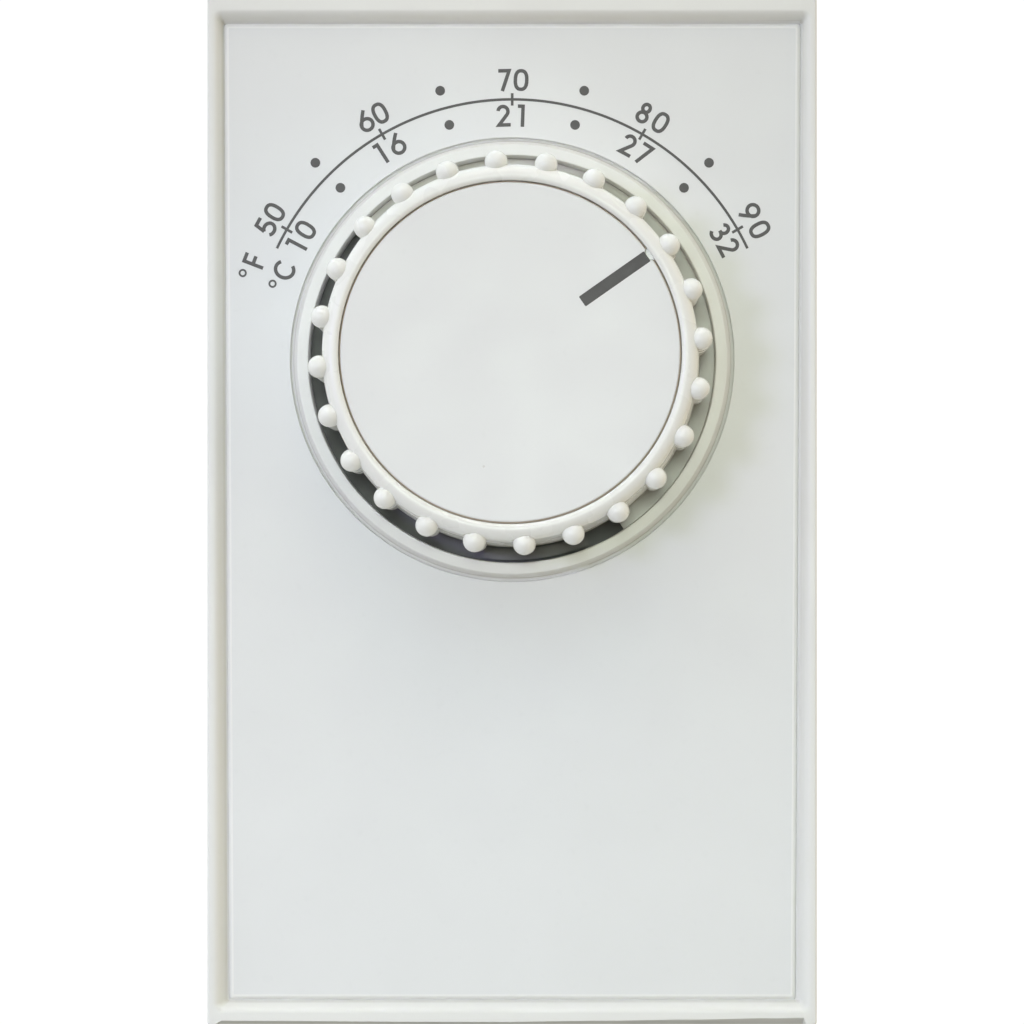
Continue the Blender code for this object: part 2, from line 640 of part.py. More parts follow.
def pan_screw(name, x, y, tip, seat, head_radius, shank_radius):
    """A slotted screw that stands out of the wall: tip and seat are heights."""
    head = 1.6 * MM
    profile = [
        (0.0, seat + head), (0.6 * head_radius, seat + head), (head_radius, seat + 0.6 * head),
        (head_radius, seat), (shank_radius, seat), (shank_radius, tip + 0.4 * MM),
        (shank_radius - 0.4 * MM, tip), (0.0, tip),
    ]
    screw = turned(name, profile, STEEL, (x, y, 0.0), 16)
    reach = head_radius + MM
    low = seat + head - 0.7 * MM
    slot = ((x - reach, y - 0.4 * MM, low), (x + reach, y + 0.4 * MM, low + 2 * MM))
    cut(screw, name + "_slot", blocks(slot))


def block_and_frame_screws():
    for label, side in (("left", -1), ("right", 1)):
        seat = BLOCK_TOP + GAP
        x, y = side * BLOCK_SCREW[0], BLOCK_SCREW[1]
        pan_screw(f"switch_base_screw_{label}", x, y, 0.4 * MM, seat, 2.7 * MM, 1.4 * MM)
        x = side * FRAME_SCREW_X
        pan_screw(f"frame_screw_{label}", x, DIAL_Y, 4.0 * MM, seat + SHEET + GAP, 2.5 * MM, 1.4 * MM)


def lever_pin():
    profile = [
        (0.0, 20.6 * MM), (2.2 * MM, 20.6 * MM), (2.4 * MM, 20.3 * MM), (2.4 * MM, 19.5 * MM),
        (1.5 * MM, 19.5 * MM), (1.5 * MM, 5.3 * MM), (0.0, 5.3 * MM),
    ]
    turned("lever_pin", profile, STEEL, (*LEVER_PIVOT, 0.0), 16)


def range_lever():
    """Flat follower lever with a bent foot that carries the bimetal."""
    pivot_x, pivot_y = LEVER_PIVOT
    nose_y = DIAL_Y - CAM_RADIUS - GAP
    top = 8.0 * MM
    bottom = 3.4 * MM
    origin = (*LEVER_PIVOT, 0.0)
    outline = [(-28.0 * MM, 5.0 * MM), (-22.0 * MM, 4.2 * MM)]
    outline += arc((pivot_x, pivot_y), 3.0 * MM, math.radians(230.0), math.radians(130.0), 6)
    outline += [(-12.0 * MM, 4.4 * MM), (3.5 * MM, 4.4 * MM), (3.5 * MM, bottom), (20.5 * MM, bottom)]
    outline += [(20.5 * MM, top - MM), (3.0 * MM, top)]
    outline += arc((0.0, nose_y - 1.5 * MM), 1.5 * MM, math.radians(60.0), math.radians(-60.0), 6)
    outline += [(-3.0 * MM, top), (-14.0 * MM, top)]
    outline += arc((pivot_x, pivot_y), 3.0 * MM, math.radians(40.0), math.radians(-40.0), 5)
    outline += [(-28.0 * MM, 7.5 * MM)]
    hole = circle(LEVER_PIVOT, 1.8 * MM, 16)
    lever = part("range_lever", slab([outline, hole], LEVER_LOW, LEVER_LOW + SHEET), STEEL, origin)
    foot = ((3.5 * MM, bottom, STRIP_LOW), (20.5 * MM, bottom + SHEET, LEVER_LOW + 0.5 * SHEET))
    join(lever, "lever_foot", blocks(foot))
    rivet_holes = [((x, bottom - MM, FOOT_SCREW_HEIGHT), 4 * MM) for x in BIMETAL_RIVET_X]
    cut(lever, "lever_rivet_holes", rods(1.3 * MM, rivet_holes, axis="Y", steps=12))
    adjuster = ((ADJUSTER_X, bottom - MM, FOOT_SCREW_HEIGHT), 4 * MM)
    cut(lever, "adjuster_hole", rods(1.5 * MM, [adjuster], axis="Y", steps=12))


def calibration_screw():
    profile = [
        (0.0, 5.6 * MM), (1.6 * MM, 5.6 * MM), (1.9 * MM, 5.2 * MM), (1.9 * MM, 4.2 * MM),
        (1.2 * MM, 4.2 * MM), (1.2 * MM, 0.3 * MM), (0.9 * MM, 0.0), (0.0, 0.0),
    ]
    tip = 3.45 * MM
    screw = turned("calibration_screw", profile, BRASS, (ADJUSTER_X, tip, FOOT_SCREW_HEIGHT), 16, axis="Y")
    top = tip + 5.6 * MM
    slot_low = (ADJUSTER_X - 3 * MM, top - 0.6 * MM, FOOT_SCREW_HEIGHT - GAP)
    slot_high = (ADJUSTER_X + 3 * MM, top + MM, FOOT_SCREW_HEIGHT + GAP)
    cut(screw, "calibration_slot", blocks((slot_low, slot_high)))


def bimetal():
    """A J of strip: short upper leg under the lever's foot, long lower leg to the push pin."""
    thickness = 1.0 * MM
    upper = 3.1 * MM
    bend_x = 20.5 * MM
    outer = 5.5 * MM
    centre = (bend_x, upper - outer)
    outline = [(5.5 * MM, upper)]
    outline += arc(centre, outer, 0.0, math.pi, 12)
    outline += [(-16.0 * MM, upper - 2 * outer), (-16.0 * MM, upper - 2 * outer + thickness)]
    outline += arc(centre, outer - thickness, math.pi, 0.0, 12)
    outline += [(5.5 * MM, upper - thickness)]
    strip = part("bimetal", slab([outline], STRIP_LOW, STRIP_HIGH), COPPER, (*BIMETAL_PIVOT, 0.0))
    holes = [((x, 1.0 * MM, FOOT_SCREW_HEIGHT), 3 * MM) for x in BIMETAL_RIVET_X]
    cut(strip, "bimetal_rivet_holes", rods(1.3 * MM, holes, axis="Y", steps=12))


def rivet(name, x, low, high, height, made_of):
    """A rivet along the wall's up direction, with a head beyond each end of its grip."""
    head = 0.7 * MM
    profile = [
        (0.0, high + head), (1.3 * MM, high + head), (1.9 * MM, high + 0.3 * head), (1.9 * MM, high),
        (1.0 * MM, high), (1.0 * MM, low), (1.8 * MM, low), (1.8 * MM, low - head), (0.0, low - head),
    ]
    turned(name, [(r, h - low) for r, h in profile], made_of, (x, low, height), 14, axis="Y")


def bimetal_rivets():
    for label, x in zip(("inner", "outer"), BIMETAL_RIVET_X):
        rivet(f"bimetal_rivet_{label}", x, 1.8 * MM, 4.9 * MM, FOOT_SCREW_HEIGHT, STEEL)


def push_pin():
    profile = [
        (0.0, 4.5 * MM), (1.8 * MM, 4.5 * MM), (1.8 * MM, 3.3 * MM), (1.1 * MM, 2.9 * MM),
        (1.1 * MM, 0.4 * MM), (0.7 * MM, 0.0), (0.0, 0.0),
    ]
    turned("push_pin", profile, CERAMIC, (-8 * MM, BLADE_Y[1] + GAP, 11 * MM), 14, axis="Y")


def range_spring():
    """Extension spring that pulls the lever's tail down, so that the nose stays on the cam."""
    turns = 8
    points_per_turn = 9
    low = -7.0 * MM
    high = 3.7 * MM
    mean_radius = 1.45 * MM
    curve = bpy.data.curves.new("range_spring", "CURVE")
    curve.dimensions = "3D"
    curve.bevel_depth = 0.28 * MM
    curve.bevel_resolution = 2
    curve.use_fill_caps = True
    spline = curve.splines.new("POLY")
    count = turns * points_per_turn
    spline.points.add(count)
    for index, point in enumerate(spline.points):
        angle = 2 * math.pi * index / points_per_turn
        rise = low + (high - low) * index / count
        point.co = (mean_radius * math.cos(angle), rise, mean_radius * math.sin(angle), 1.0)
    coil = bpy.data.objects.new("range_spring", curve)
    coil.location = (-26.5 * MM, 0.0, LEVER_LOW + SHEET / 2)
    coil.parent = WALL_FRAME
    coil.data.materials.append(SPRING_STEEL)
    PARTS.objects.link(coil)


def contact_blade():
    low, high = 9.0 * MM, 13.0 * MM
    strip = blocks(((-25 * MM, BLADE_Y[0], low), (20.5 * MM, BLADE_Y[1], high)))
    blade = part("contact_blade", strip, COPPER, (*BLADE_PIVOT, 0.0))
    hole = ((BLADE_RIVET_X, BLADE_Y[0] - MM, (low + high) / 2), 3 * MM)
    cut(blade, "blade_rivet_hole", rods(1.3 * MM, [hole], axis="Y", steps=12))


def blade_pieces():
    """The pieces that ride on the blade, and the ones that it is riveted to and closes on."""
    origin = (*BLADE_PIVOT, 0.0)
    contact_top = BLADE_Y[0] - GAP
    moving = rods(1.6 * MM, [((12 * MM, contact_top - 0.9 * MM, 11 * MM), 0.9 * MM)], axis="Y", steps=16)
    part("moving_contact", moving, SILVER, origin)
    steel = ((15.6 * MM, BLADE_Y[1] + GAP, 8.9 * MM), (20.5 * MM, BLADE_Y[1] + 1.2 * MM, 13.1 * MM))
    part("armature", blocks(steel), STEEL, origin)
    fixed_top = contact_top - 0.9 * MM - GAP
    fixed = rods(1.8 * MM, [((12 * MM, fixed_top - MM, 11 * MM), MM)], axis="Y", steps=16)
    part("fixed_contact", fixed, SILVER)
    magnet = ((16 * MM, -18.5 * MM, BLOCK_TOP + GAP), (21 * MM, fixed_top + 0.4 * MM, 13.4 * MM))
    part("magnet", blocks(magnet), FERRITE)
    rivet("blade_rivet", BLADE_RIVET_X, -15.3 * MM, BLADE_Y[1] + GAP, 11 * MM, STEEL)


def terminal(name, side, leg_top, leg_x):
    """Brass strip on the block: a tab under the terminal screw and an upright leg."""
    low = BLOCK_TOP + GAP
    sheet = 1.0 * MM
    inner, outer = sorted((side * 13.2 * MM, side * 27.0 * MM))
    tab = rectangle((inner, -32.5 * MM), (outer, leg_top))
    hole = circle((side * TERMINAL_X, TERMINAL_Y), 2.0 * MM, 16)
    strip = part(name, slab([tab, hole], low, low + sheet), BRASS)
    leg = ((leg_x[0], leg_top - 1.2 * MM, low + 0.4 * MM), (leg_x[1], leg_top, 13.6 * MM))
    join(strip, name + "_leg", blocks(leg))
    return strip


def terminals():
    line = terminal("line_terminal", -1, BLADE_Y[0] - GAP, (-26.5 * MM, -19.5 * MM))
    hole = ((BLADE_RIVET_X, -16 * MM, 11 * MM), 4 * MM)
    cut(line, "line_rivet_hole", rods(1.3 * MM, [hole], axis="Y", steps=12))
    contact_bottom = BLADE_Y[0] - 2 * GAP - 1.9 * MM
    load_top = contact_bottom - GAP
    load = terminal("load_terminal", 1, load_top - 2.7 * MM, (13.2 * MM, 15.4 * MM))
    shelf = ((9.5 * MM, load_top - 1.2 * MM, 8.6 * MM), (15.4 * MM, load_top, 13.6 * MM))
    riser = ((13.6 * MM, load_top - 3.4 * MM, 8.6 * MM), (15.4 * MM, load_top - 0.6 * MM, 13.6 * MM))
    join(load, "load_riser", blocks(riser))
    join(load, "load_shelf", blocks(shelf))
    for label, side in (("line", -1), ("load", 1)):
        x = side * TERMINAL_X
        pan_screw(f"terminal_screw_{label}", x, TERMINAL_Y, 4.2 * MM, 11.8 * MM, 3.6 * MM, 1.7 * MM)
        washer = [(2.0 * MM, 11.5 * MM), (4.2 * MM, 11.5 * MM), (4.2 * MM, 10.5 * MM), (2.0 * MM, 10.5 * MM)]
        turned(f"clamp_washer_{label}", washer, STEEL, (x, TERMINAL_Y, 0.0), 20, closed=True)


def main():
    front_cover()
    face_plate()
    base_plate()
    cover_screw()
    knob()
    knob_disc()
    stop_ring()
    dial_well()
    dial_shaft()
    shaft_clip()
    range_cam()
    bushing()
    bushing_nut()
    friction_washer()
    mechanism_frame()
    switch_base()
    block_and_frame_screws()
    lever_pin()
    range_lever()
    calibration_screw()
    bimetal()
    bimetal_rivets()
    push_pin()
    range_spring()
    contact_blade()
    blade_pieces()
    terminals()


main()
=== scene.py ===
"""Looks of the wall thermostat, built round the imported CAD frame.

Shapes are drawn in the plan of the wall: x to the right, y up the wall, z out of the wall, and
turned upright when they become objects. Sizes come from the CAD nodes' boxes where they can.
"""

import math

import bmesh
import bpy
from mathutils import Matrix, Vector


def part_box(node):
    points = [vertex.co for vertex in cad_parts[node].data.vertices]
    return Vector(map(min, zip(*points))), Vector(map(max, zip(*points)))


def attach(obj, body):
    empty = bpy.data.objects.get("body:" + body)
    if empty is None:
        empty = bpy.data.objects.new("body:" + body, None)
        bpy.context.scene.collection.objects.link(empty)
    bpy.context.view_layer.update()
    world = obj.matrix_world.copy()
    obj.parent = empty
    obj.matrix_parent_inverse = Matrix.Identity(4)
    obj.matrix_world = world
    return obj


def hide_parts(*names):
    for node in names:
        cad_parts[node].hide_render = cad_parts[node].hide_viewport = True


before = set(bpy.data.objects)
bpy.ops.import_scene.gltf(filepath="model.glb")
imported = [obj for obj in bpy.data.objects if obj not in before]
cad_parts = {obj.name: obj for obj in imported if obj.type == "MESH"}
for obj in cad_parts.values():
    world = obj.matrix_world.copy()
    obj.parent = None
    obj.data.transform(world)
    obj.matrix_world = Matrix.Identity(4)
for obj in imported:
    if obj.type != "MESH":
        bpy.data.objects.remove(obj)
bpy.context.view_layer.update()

MM = 0.001
UPRIGHT = Matrix.Rotation(math.radians(90.0), 4, "X")
MERGE = 0.002 * MM  # points this near each other are one point
FINE = 192  # steps round the large circles
CREASE = 38.0  # degrees between two faces that make their edge sharp


# ---------------------------------------------------------------- sizes read from the frame


def plan_box(node):
    """Lowest and highest corner of a CAD node in the plan frame."""
    low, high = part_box(node)
    return Vector((low.x, low.z, -high.y)), Vector((high.x, high.z, -low.y))


COVER_LOW, COVER_HIGH = plan_box("front_cover")
PLATE_LOW, PLATE_HIGH = plan_box("face_plate")
SHAFT_LOW, SHAFT_HIGH = plan_box("dial_shaft")
KNOB_LOW, KNOB_HIGH = plan_box("knob")
DISC_LOW, DISC_HIGH = plan_box("knob_disc")
STOP_LOW, STOP_HIGH = plan_box("stop_ring")
SCREW_LOW, SCREW_HIGH = plan_box("cover_screw")

DIAL_Y = (SHAFT_LOW.y + SHAFT_HIGH.y) / 2
DISC_RADIUS = (DISC_HIGH.x - DISC_LOW.x) / 2
HALF = Vector((COVER_HIGH.x - MERGE, COVER_HIGH.y - MERGE))
PLATE_HALF = Vector((PLATE_HIGH.x + 0.12 * MM, PLATE_HIGH.y + 0.06 * MM))
PLATE_CHAMFER = 0.3 * MM
PLATE_CHAMFER_WIDTH = 0.36 * MM
PLATE_TAPER = 0.0095  # share by which the plate and its recess are wider at the top than halfway up
COVER_WALL = 2.0 * MM
COVER_FRONT = COVER_HIGH.z
RECESS_FLOOR = PLATE_LOW.z - 0.3 * MM
CEILING = RECESS_FLOOR - COVER_WALL
PLATE_FRONT = PLATE_HIGH.z

COLLAR_OUTER = 24.62 * MM
COLLAR_TOP_OUTER = 24.28 * MM
WINDOW_RADIUS = 25.05 * MM
WELL_RADIUS = 22.95 * MM
KNOB_RADIUS = 20.5 * MM
KNOB_FOOT_RADIUS = 21.2 * MM
RING_CREST_RADIUS = 19.3 * MM
RIB_COUNT = 24
RIB_RADIUS = 1.25 * MM
RIB_CIRCLE = 20.95 * MM
RIB_PHASE = math.radians(-4.2)
POINTER_ANGLE = math.radians(55.0)
STOP_SECTOR = (math.radians(-50.8), math.radians(146.5))
FLANGE_NARROW = 20.6 * MM
FLANGE_BORE = 13.0 * MM

SCALE_RADIUS = 29.4 * MM
SCALE_REACH = math.radians(64.7)
LINE_WIDTH = 0.29 * MM
TICK_WIDTH = 0.3 * MM
TICK_HALF = 0.7 * MM
DOT_RADIUS = 0.55 * MM
OUTER_ROW = 31.45 * MM
INNER_ROW = 27.45 * MM
DIGIT_HEIGHT = 2.5 * MM
STROKE = 0.16  # in heights of a digit
DEGREE_STROKE = 0.085
INK_LOW = PLATE_FRONT - 0.005 * MM
INK_HIGH = PLATE_FRONT + 0.02 * MM


# ---------------------------------------------------------------- materials


class Nodes:
    """A short way to add and wire shader nodes."""

    def __init__(self, name):
        self.material = bpy.data.materials.new(name)
        self.material.use_nodes = True
        self.tree = self.material.node_tree
        self.shader = self.tree.nodes["Principled BSDF"]
        coordinates = self.tree.nodes.new("ShaderNodeTexCoord")
        self.place = coordinates.outputs["Object"]

    def add(self, kind, **settings):
        """New node, with its own settings given by name."""
        node = self.tree.nodes.new(kind)
        for key, value in settings.items():
            setattr(node, key, value)
        return node

    def wire(self, output, socket):
        """Links an output to a socket."""
        self.tree.links.new(output, socket)

    def noise(self, scale, detail=4.0, roughness=0.55, stretch=None):
        """Noise fixed to the object, in cycles per metre, drawn out along an axis by an uneven stretch."""
        node = self.add("ShaderNodeTexNoise")
        node.inputs["Scale"].default_value = scale
        node.inputs["Detail"].default_value = detail
        node.inputs["Roughness"].default_value = roughness
        place = self.place
        if stretch:
            mapping = self.add("ShaderNodeMapping")
            mapping.inputs["Scale"].default_value = stretch
            self.wire(place, mapping.inputs["Vector"])
            place = mapping.outputs["Vector"]
        self.wire(place, node.inputs["Vector"])
        return node.outputs["Fac"]

    def spread(self, value, low, high, from_low=0.3, from_high=0.7):
        """Maps a noise value to a range."""
        node = self.add("ShaderNodeMapRange")
        node.inputs["From Min"].default_value = from_low
        node.inputs["From Max"].default_value = from_high
        node.inputs["To Min"].default_value = low
        node.inputs["To Max"].default_value = high
        self.wire(value, node.inputs["Value"])
        return node.outputs["Result"]

    def mix(self, factor, first, second):
        """Blends two colours, or a colour wire and a colour."""
        node = self.add("ShaderNodeMix", data_type="RGBA")
        self.wire(factor, node.inputs["Factor"])
        for socket, colour in (("A", first), ("B", second)):
            target = [i for i in node.inputs if i.name == socket and i.type == "RGBA"][0]
            if isinstance(colour, tuple):
                target.default_value = (*colour, 1.0)
            else:
                self.wire(colour, target)
        return [o for o in node.outputs if o.type == "RGBA"][0]

    def bump(self, height, distance, strength=1.0, under=None):
        """Normal tilted by a height, which may add to another bump under it."""
        node = self.add("ShaderNodeBump")
        node.inputs["Strength"].default_value = strength
        node.inputs["Distance"].default_value = distance
        self.wire(height, node.inputs["Height"])
        if under:
            self.wire(under, node.inputs["Normal"])
        return node.outputs["Normal"]

    def edges(self, low, high):
        """0 to 1 where the surface turns sharply outward, or inward if low is above high."""
        geometry = self.add("ShaderNodeNewGeometry")
        return self.spread(geometry.outputs["Pointiness"], 0.0, 1.0, low, high)


def shade(colour, factor):
    """The same colour, lighter or darker."""
    return tuple(channel * factor for channel in colour)


def moulded(name, colour, roughness, grain=0.012, dirt_and_shade=(0.30, 0.25, 0.17), dirt_and_shade_amount=0.6):
    """Moulded plastic: spark-eroded grain, slightly uneven colour and gloss, and a tint in concave corners
    that is dust and painted shade.
    """
    nodes = Nodes(name)
    cloud = nodes.spread(nodes.noise(35.0, 3.0), 0.0, 1.0)
    colour_out = nodes.mix(cloud, shade(colour, 0.975), shade(colour, 1.02))
    speck = nodes.spread(nodes.noise(900.0, 2.0), 0.0, 0.10, 0.62, 0.80)
    colour_out = nodes.mix(speck, colour_out, shade(colour, 0.82))
    # Concave corners turn to the dirt colour: partly dust, partly painted shade where shade would gather.
    dirt_and_shade_mask = nodes.edges(0.485, 0.44)
    dirt_and_shade_share = nodes.add("ShaderNodeMath", operation="MULTIPLY")
    nodes.wire(dirt_and_shade_mask, dirt_and_shade_share.inputs[0])
    dirt_and_shade_share.inputs[1].default_value = dirt_and_shade_amount
    colour_out = nodes.mix(dirt_and_shade_share.outputs[0], colour_out, dirt_and_shade)
    nodes.wire(colour_out, nodes.shader.inputs["Base Color"])
    uneven = nodes.noise(160.0, 3.0)
    nodes.wire(nodes.spread(uneven, roughness - 0.05, roughness + 0.07), nodes.shader.inputs["Roughness"])
    fine = nodes.bump(nodes.noise(5200.0, 2.0), grain * MM, 0.6)
    broad = nodes.bump(nodes.noise(55.0, 2.0), 0.05 * MM, 0.25, under=fine)
    nodes.wire(broad, nodes.shader.inputs["Normal"])
    return nodes.material


def metal(name, colour, roughness, stretch, tarnish, tarnish_amount=0.35):
    """Rolled or turned metal: fine lines along the work, cloudy tarnish and brighter edges."""
    nodes = Nodes(name)
    lines = nodes.noise(1.0, 5.0, 0.7, stretch=stretch)
    cloud = nodes.spread(nodes.noise(140.0, 5.0, 0.65), 0.0, tarnish_amount, 0.42, 0.72)
    base = nodes.mix(nodes.spread(lines, 0.0, 1.0), shade(colour, 0.86), shade(colour, 1.05))
    base = nodes.mix(cloud, base, tarnish)
    worn = nodes.edges(0.53, 0.60)
    base = nodes.mix(worn, base, shade(colour, 1.15))
    nodes.wire(base, nodes.shader.inputs["Base Color"])
    nodes.wire(nodes.spread(lines, roughness - 0.06, roughness + 0.12), nodes.shader.inputs["Roughness"])
    nodes.wire(nodes.bump(lines, 0.006 * MM, 0.5), nodes.shader.inputs["Normal"])
    nodes.shader.inputs["Metallic"].default_value = 1.0
    return nodes.material


def printed_ink(name, colour):
    """Screen-printed ink: slightly thin in places, with a dull film."""
    nodes = Nodes(name)
    thin = nodes.spread(nodes.noise(1500.0, 3.0), 0.0, 0.22, 0.45, 0.75)
    nodes.wire(nodes.mix(thin, colour, shade(colour, 1.5)), nodes.shader.inputs["Base Color"])
    nodes.wire(nodes.spread(nodes.noise(800.0), 0.45, 0.6), nodes.shader.inputs["Roughness"])
    nodes.wire(nodes.bump(nodes.noise(3000.0), 0.003 * MM, 0.4), nodes.shader.inputs["Normal"])
    return nodes.material


def painted_floor(name, colour):
    """Matt paint with a barely uneven tone."""
    nodes = Nodes(name)
    cloud = nodes.spread(nodes.noise(3.0), 0.0, 1.0)
    nodes.wire(nodes.mix(cloud, shade(colour, 0.985), colour), nodes.shader.inputs["Base Color"])
    nodes.wire(nodes.spread(nodes.noise(40.0), 0.55, 0.7), nodes.shader.inputs["Roughness"])
    return nodes.material


# Each material's dirt colour tints its concave corners: dust there, together with painted shade.
IVORY = moulded("ivory_abs", (0.775, 0.775, 0.745), 0.36)
KNOB_IVORY = moulded("knob_abs", (0.83, 0.83, 0.79), 0.26, grain=0.004, dirt_and_shade=(0.34, 0.26, 0.16))
PLATE_GREY = moulded("face_plate_styrene", (0.765, 0.775, 0.765), 0.44, grain=0.008)
FLANGE_IVORY = moulded("flange_abs", (0.77, 0.745, 0.70), 0.36)
OLD_GLUE = moulded("yellowed_glue", (0.54, 0.44, 0.34), 0.5, grain=0.01, dirt_and_shade=(0.30, 0.22, 0.14))
# Paler grey for the plate's chamfer and a thin rim of its face: a painted highlight for the light those
# edges catch.
PAINTED_EDGE_HIGHLIGHT = moulded("face_plate_painted_edge_highlight", (0.85, 0.855, 0.83), 0.36, grain=0.004)
DISC_GREY = moulded("disc_styrene", (0.77, 0.775, 0.765), 0.40, grain=0.006, dirt_and_shade=(0.26, 0.15, 0.06))
# Colour for the hollows of the dark mouldings: soot, together with painted shade in their corners.
SOOT_AND_SHADE = (0.10, 0.09, 0.08)
BLACK = moulded("black_phenolic_moulding", (0.035, 0.035, 0.036), 0.42, dirt_and_shade=SOOT_AND_SHADE, dirt_and_shade_amount=0.3)
WELL_BLACK = moulded("well_black", (0.27, 0.27, 0.272), 0.55, dirt_and_shade=SOOT_AND_SHADE, dirt_and_shade_amount=0.2)
INK = printed_ink("scale_ink", (0.095, 0.092, 0.088))
POINTER_INK = printed_ink("pointer_paint", (0.085, 0.083, 0.080))
STEEL = metal("zinc_plate", (0.66, 0.67, 0.68), 0.30, (60.0, 900.0, 60.0), (0.50, 0.49, 0.46))
SPRING_STEEL = metal("spring_wire", (0.42, 0.43, 0.45), 0.26, (700.0, 700.0, 700.0), (0.30, 0.28, 0.25))
BRASS = metal("turned_brass", (0.80, 0.62, 0.31), 0.26, (90.0, 1200.0, 90.0), (0.50, 0.34, 0.16))
COPPER = metal("beryllium_copper_strip", (0.78, 0.47, 0.31), 0.26, (60.0, 60.0, 1400.0), (0.42, 0.22, 0.13))
BIMETAL = metal("bimetal_strip", (0.62, 0.56, 0.50), 0.30, (50.0, 1100.0, 1100.0), (0.44, 0.35, 0.27))
SILVER = metal("silver_contact", (0.88, 0.87, 0.83), 0.22, (400.0, 400.0, 400.0), (0.48, 0.45, 0.38), 0.5)
CERAMIC = moulded("steatite", (0.82, 0.80, 0.73), 0.30, grain=0.003, dirt_and_shade_amount=0.3)
FERRITE = moulded("ferrite_block", (0.09, 0.09, 0.10), 0.55, grain=0.03, dirt_and_shade_amount=0.2)


# ---------------------------------------------------------------- mesh tools


def upright(name, bm, made_of, body, smooth=CREASE):
    """Turns a drawing in the plan into an object that rides on a body."""
    bmesh.ops.recalc_face_normals(bm, faces=bm.faces)
    bmesh.ops.transform(bm, matrix=UPRIGHT, verts=bm.verts)
    mesh = bpy.data.meshes.new(name)
    bm.to_mesh(mesh)
    bm.free()
    mesh.shade_smooth()
    mesh.set_sharp_from_angle(angle=math.radians(smooth))
    mesh.materials.append(made_of)
    made = bpy.data.objects.new(name, mesh)
    bpy.context.scene.collection.objects.link(made)
    if body:
        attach(made, body)
    return made


def combine(target, bm, operation):
    """Cuts a drawing out of an object, or joins it on, and applies the result."""
    tool = upright("tool", bm, IVORY, None)
    modifier = target.modifiers.new("combine", "BOOLEAN")
    modifier.operation = operation
    modifier.solver = "EXACT"
    modifier.object = tool
    bpy.context.view_layer.update()
    evaluated = target.evaluated_get(bpy.context.evaluated_depsgraph_get())
    mesh = bpy.data.meshes.new_from_object(evaluated)
    target.modifiers.remove(modifier)
    welded = bmesh.new()
    welded.from_mesh(mesh)
    bmesh.ops.remove_doubles(welded, verts=welded.verts, dist=MERGE)
    bmesh.ops.dissolve_degenerate(welded, edges=welded.edges, dist=MERGE / 2)
    welded.to_mesh(mesh)
    welded.free()
    spent = target.data
    target.data = mesh
    mesh.name = spent.name
    bpy.data.meshes.remove(spent)
    tool_mesh = tool.data
    bpy.data.objects.remove(tool, do_unlink=True)
    bpy.data.meshes.remove(tool_mesh)


def cut(target, bm):
    """Takes a drawing's shape out of an object."""
    combine(target, bm, "DIFFERENCE")


def join(target, bm):
    """Makes a drawing's shape part of an object."""
    combine(target, bm, "UNION")


def level(target):
    """Marks the sharp edges, and lets large flat faces keep flat shading up to their rounded edges."""
    target.data.set_sharp_from_angle(angle=math.radians(CREASE))
    modifier = target.modifiers.new("level", "WEIGHTED_NORMAL")
    modifier.keep_sharp = True
    modifier.weight = 100


def soften(target, width):
    """Small rounding on the sharp edges."""
    modifier = target.modifiers.new("soften", "BEVEL")
    modifier.width = width
    modifier.segments = 2
    modifier.limit_method = "ANGLE"
    modifier.angle_limit = math.radians(40.0)


def paint(target, made_of, chosen):
    """Gives the faces that pass a test a second material."""
    target.data.materials.append(made_of)
    for face in target.data.polygons:
        if chosen(face):
            face.material_index = 1


def loft(loops, closed_ends=True, ring=False):
    """Skins equal loops of points in order, with flat ends, or back to the first as a ring."""
    bm = bmesh.new()
    rows = [[bm.verts.new(point) for point in loop] for loop in loops]
    count = len(rows[0])
    pairs = list(zip(rows, rows[1:]))
    if ring:
        pairs.append((rows[-1], rows[0]))
    for first, second in pairs:
        for i in range(count):
            j = (i + 1) % count
            bm.faces.new((first[i], first[j], second[j], second[i]))
    if closed_ends and not ring:
        bm.faces.new(rows[0])
        bm.faces.new(rows[-1])
    return bm


def turn(profile, steps=FINE, centre=(0.0, 0.0), ring=False):
    """Spins (radius, height) points about an upright axis; a radius of 0 becomes one point."""
    loops = []
    for radius, height in profile:
        angles = (2 * math.pi * i / steps for i in range(steps))
        loops.append([
            (centre[0] + radius * math.sin(a), centre[1] + radius * math.cos(a), height) for a in angles
        ])
    bm = loft(loops, closed_ends=not ring, ring=ring)
    bmesh.ops.remove_doubles(bm, verts=bm.verts, dist=MERGE)
    return bm


def dial_turn(profile, steps=FINE, ring=False):
    """Spins a profile about the dial's axis."""
    return turn(profile, steps, (0.0, DIAL_Y), ring)


def rounded_rectangle(half_x, half_y, radius, height, steps=6):
    """Loop of points round an upright rectangle with round corners, centred on the plan's origin."""
    radius = max(radius, 0.02 * MM)
    points = []
    corners = ((1, 1, 0.0), (-1, 1, 90.0), (-1, -1, 180.0), (1, -1, 270.0))
    for sign_x, sign_y, start in corners:
        centre = (sign_x * (half_x - radius), sign_y * (half_y - radius))
        for i in range(steps + 1):
            angle = math.radians(start + 90.0 * i / steps)
            x = centre[0] + radius * math.cos(angle)
            y = centre[1] + radius * math.sin(angle)
            points.append((x, y, height))
    return points


def merged(parts):
    """One bmesh from several."""
    whole = bmesh.new()
    for bm in parts:
        mesh = bpy.data.meshes.new("part")
        bm.to_mesh(mesh)
        bm.free()
        whole.from_mesh(mesh)
        bpy.data.meshes.remove(mesh)
    return whole


def arc_heights(centre_in, centre_up, radius, start, end, steps):
    """Profile points round a centre, angles in degrees from straight up, outward positive."""
    points = []
    for i in range(steps + 1):
        angle = math.radians(start + (end - start) * i / steps)
        points.append((centre_in + radius * math.sin(angle), centre_up + radius * math.cos(angle)))
    return points


# ---------------------------------------------------------------- cover


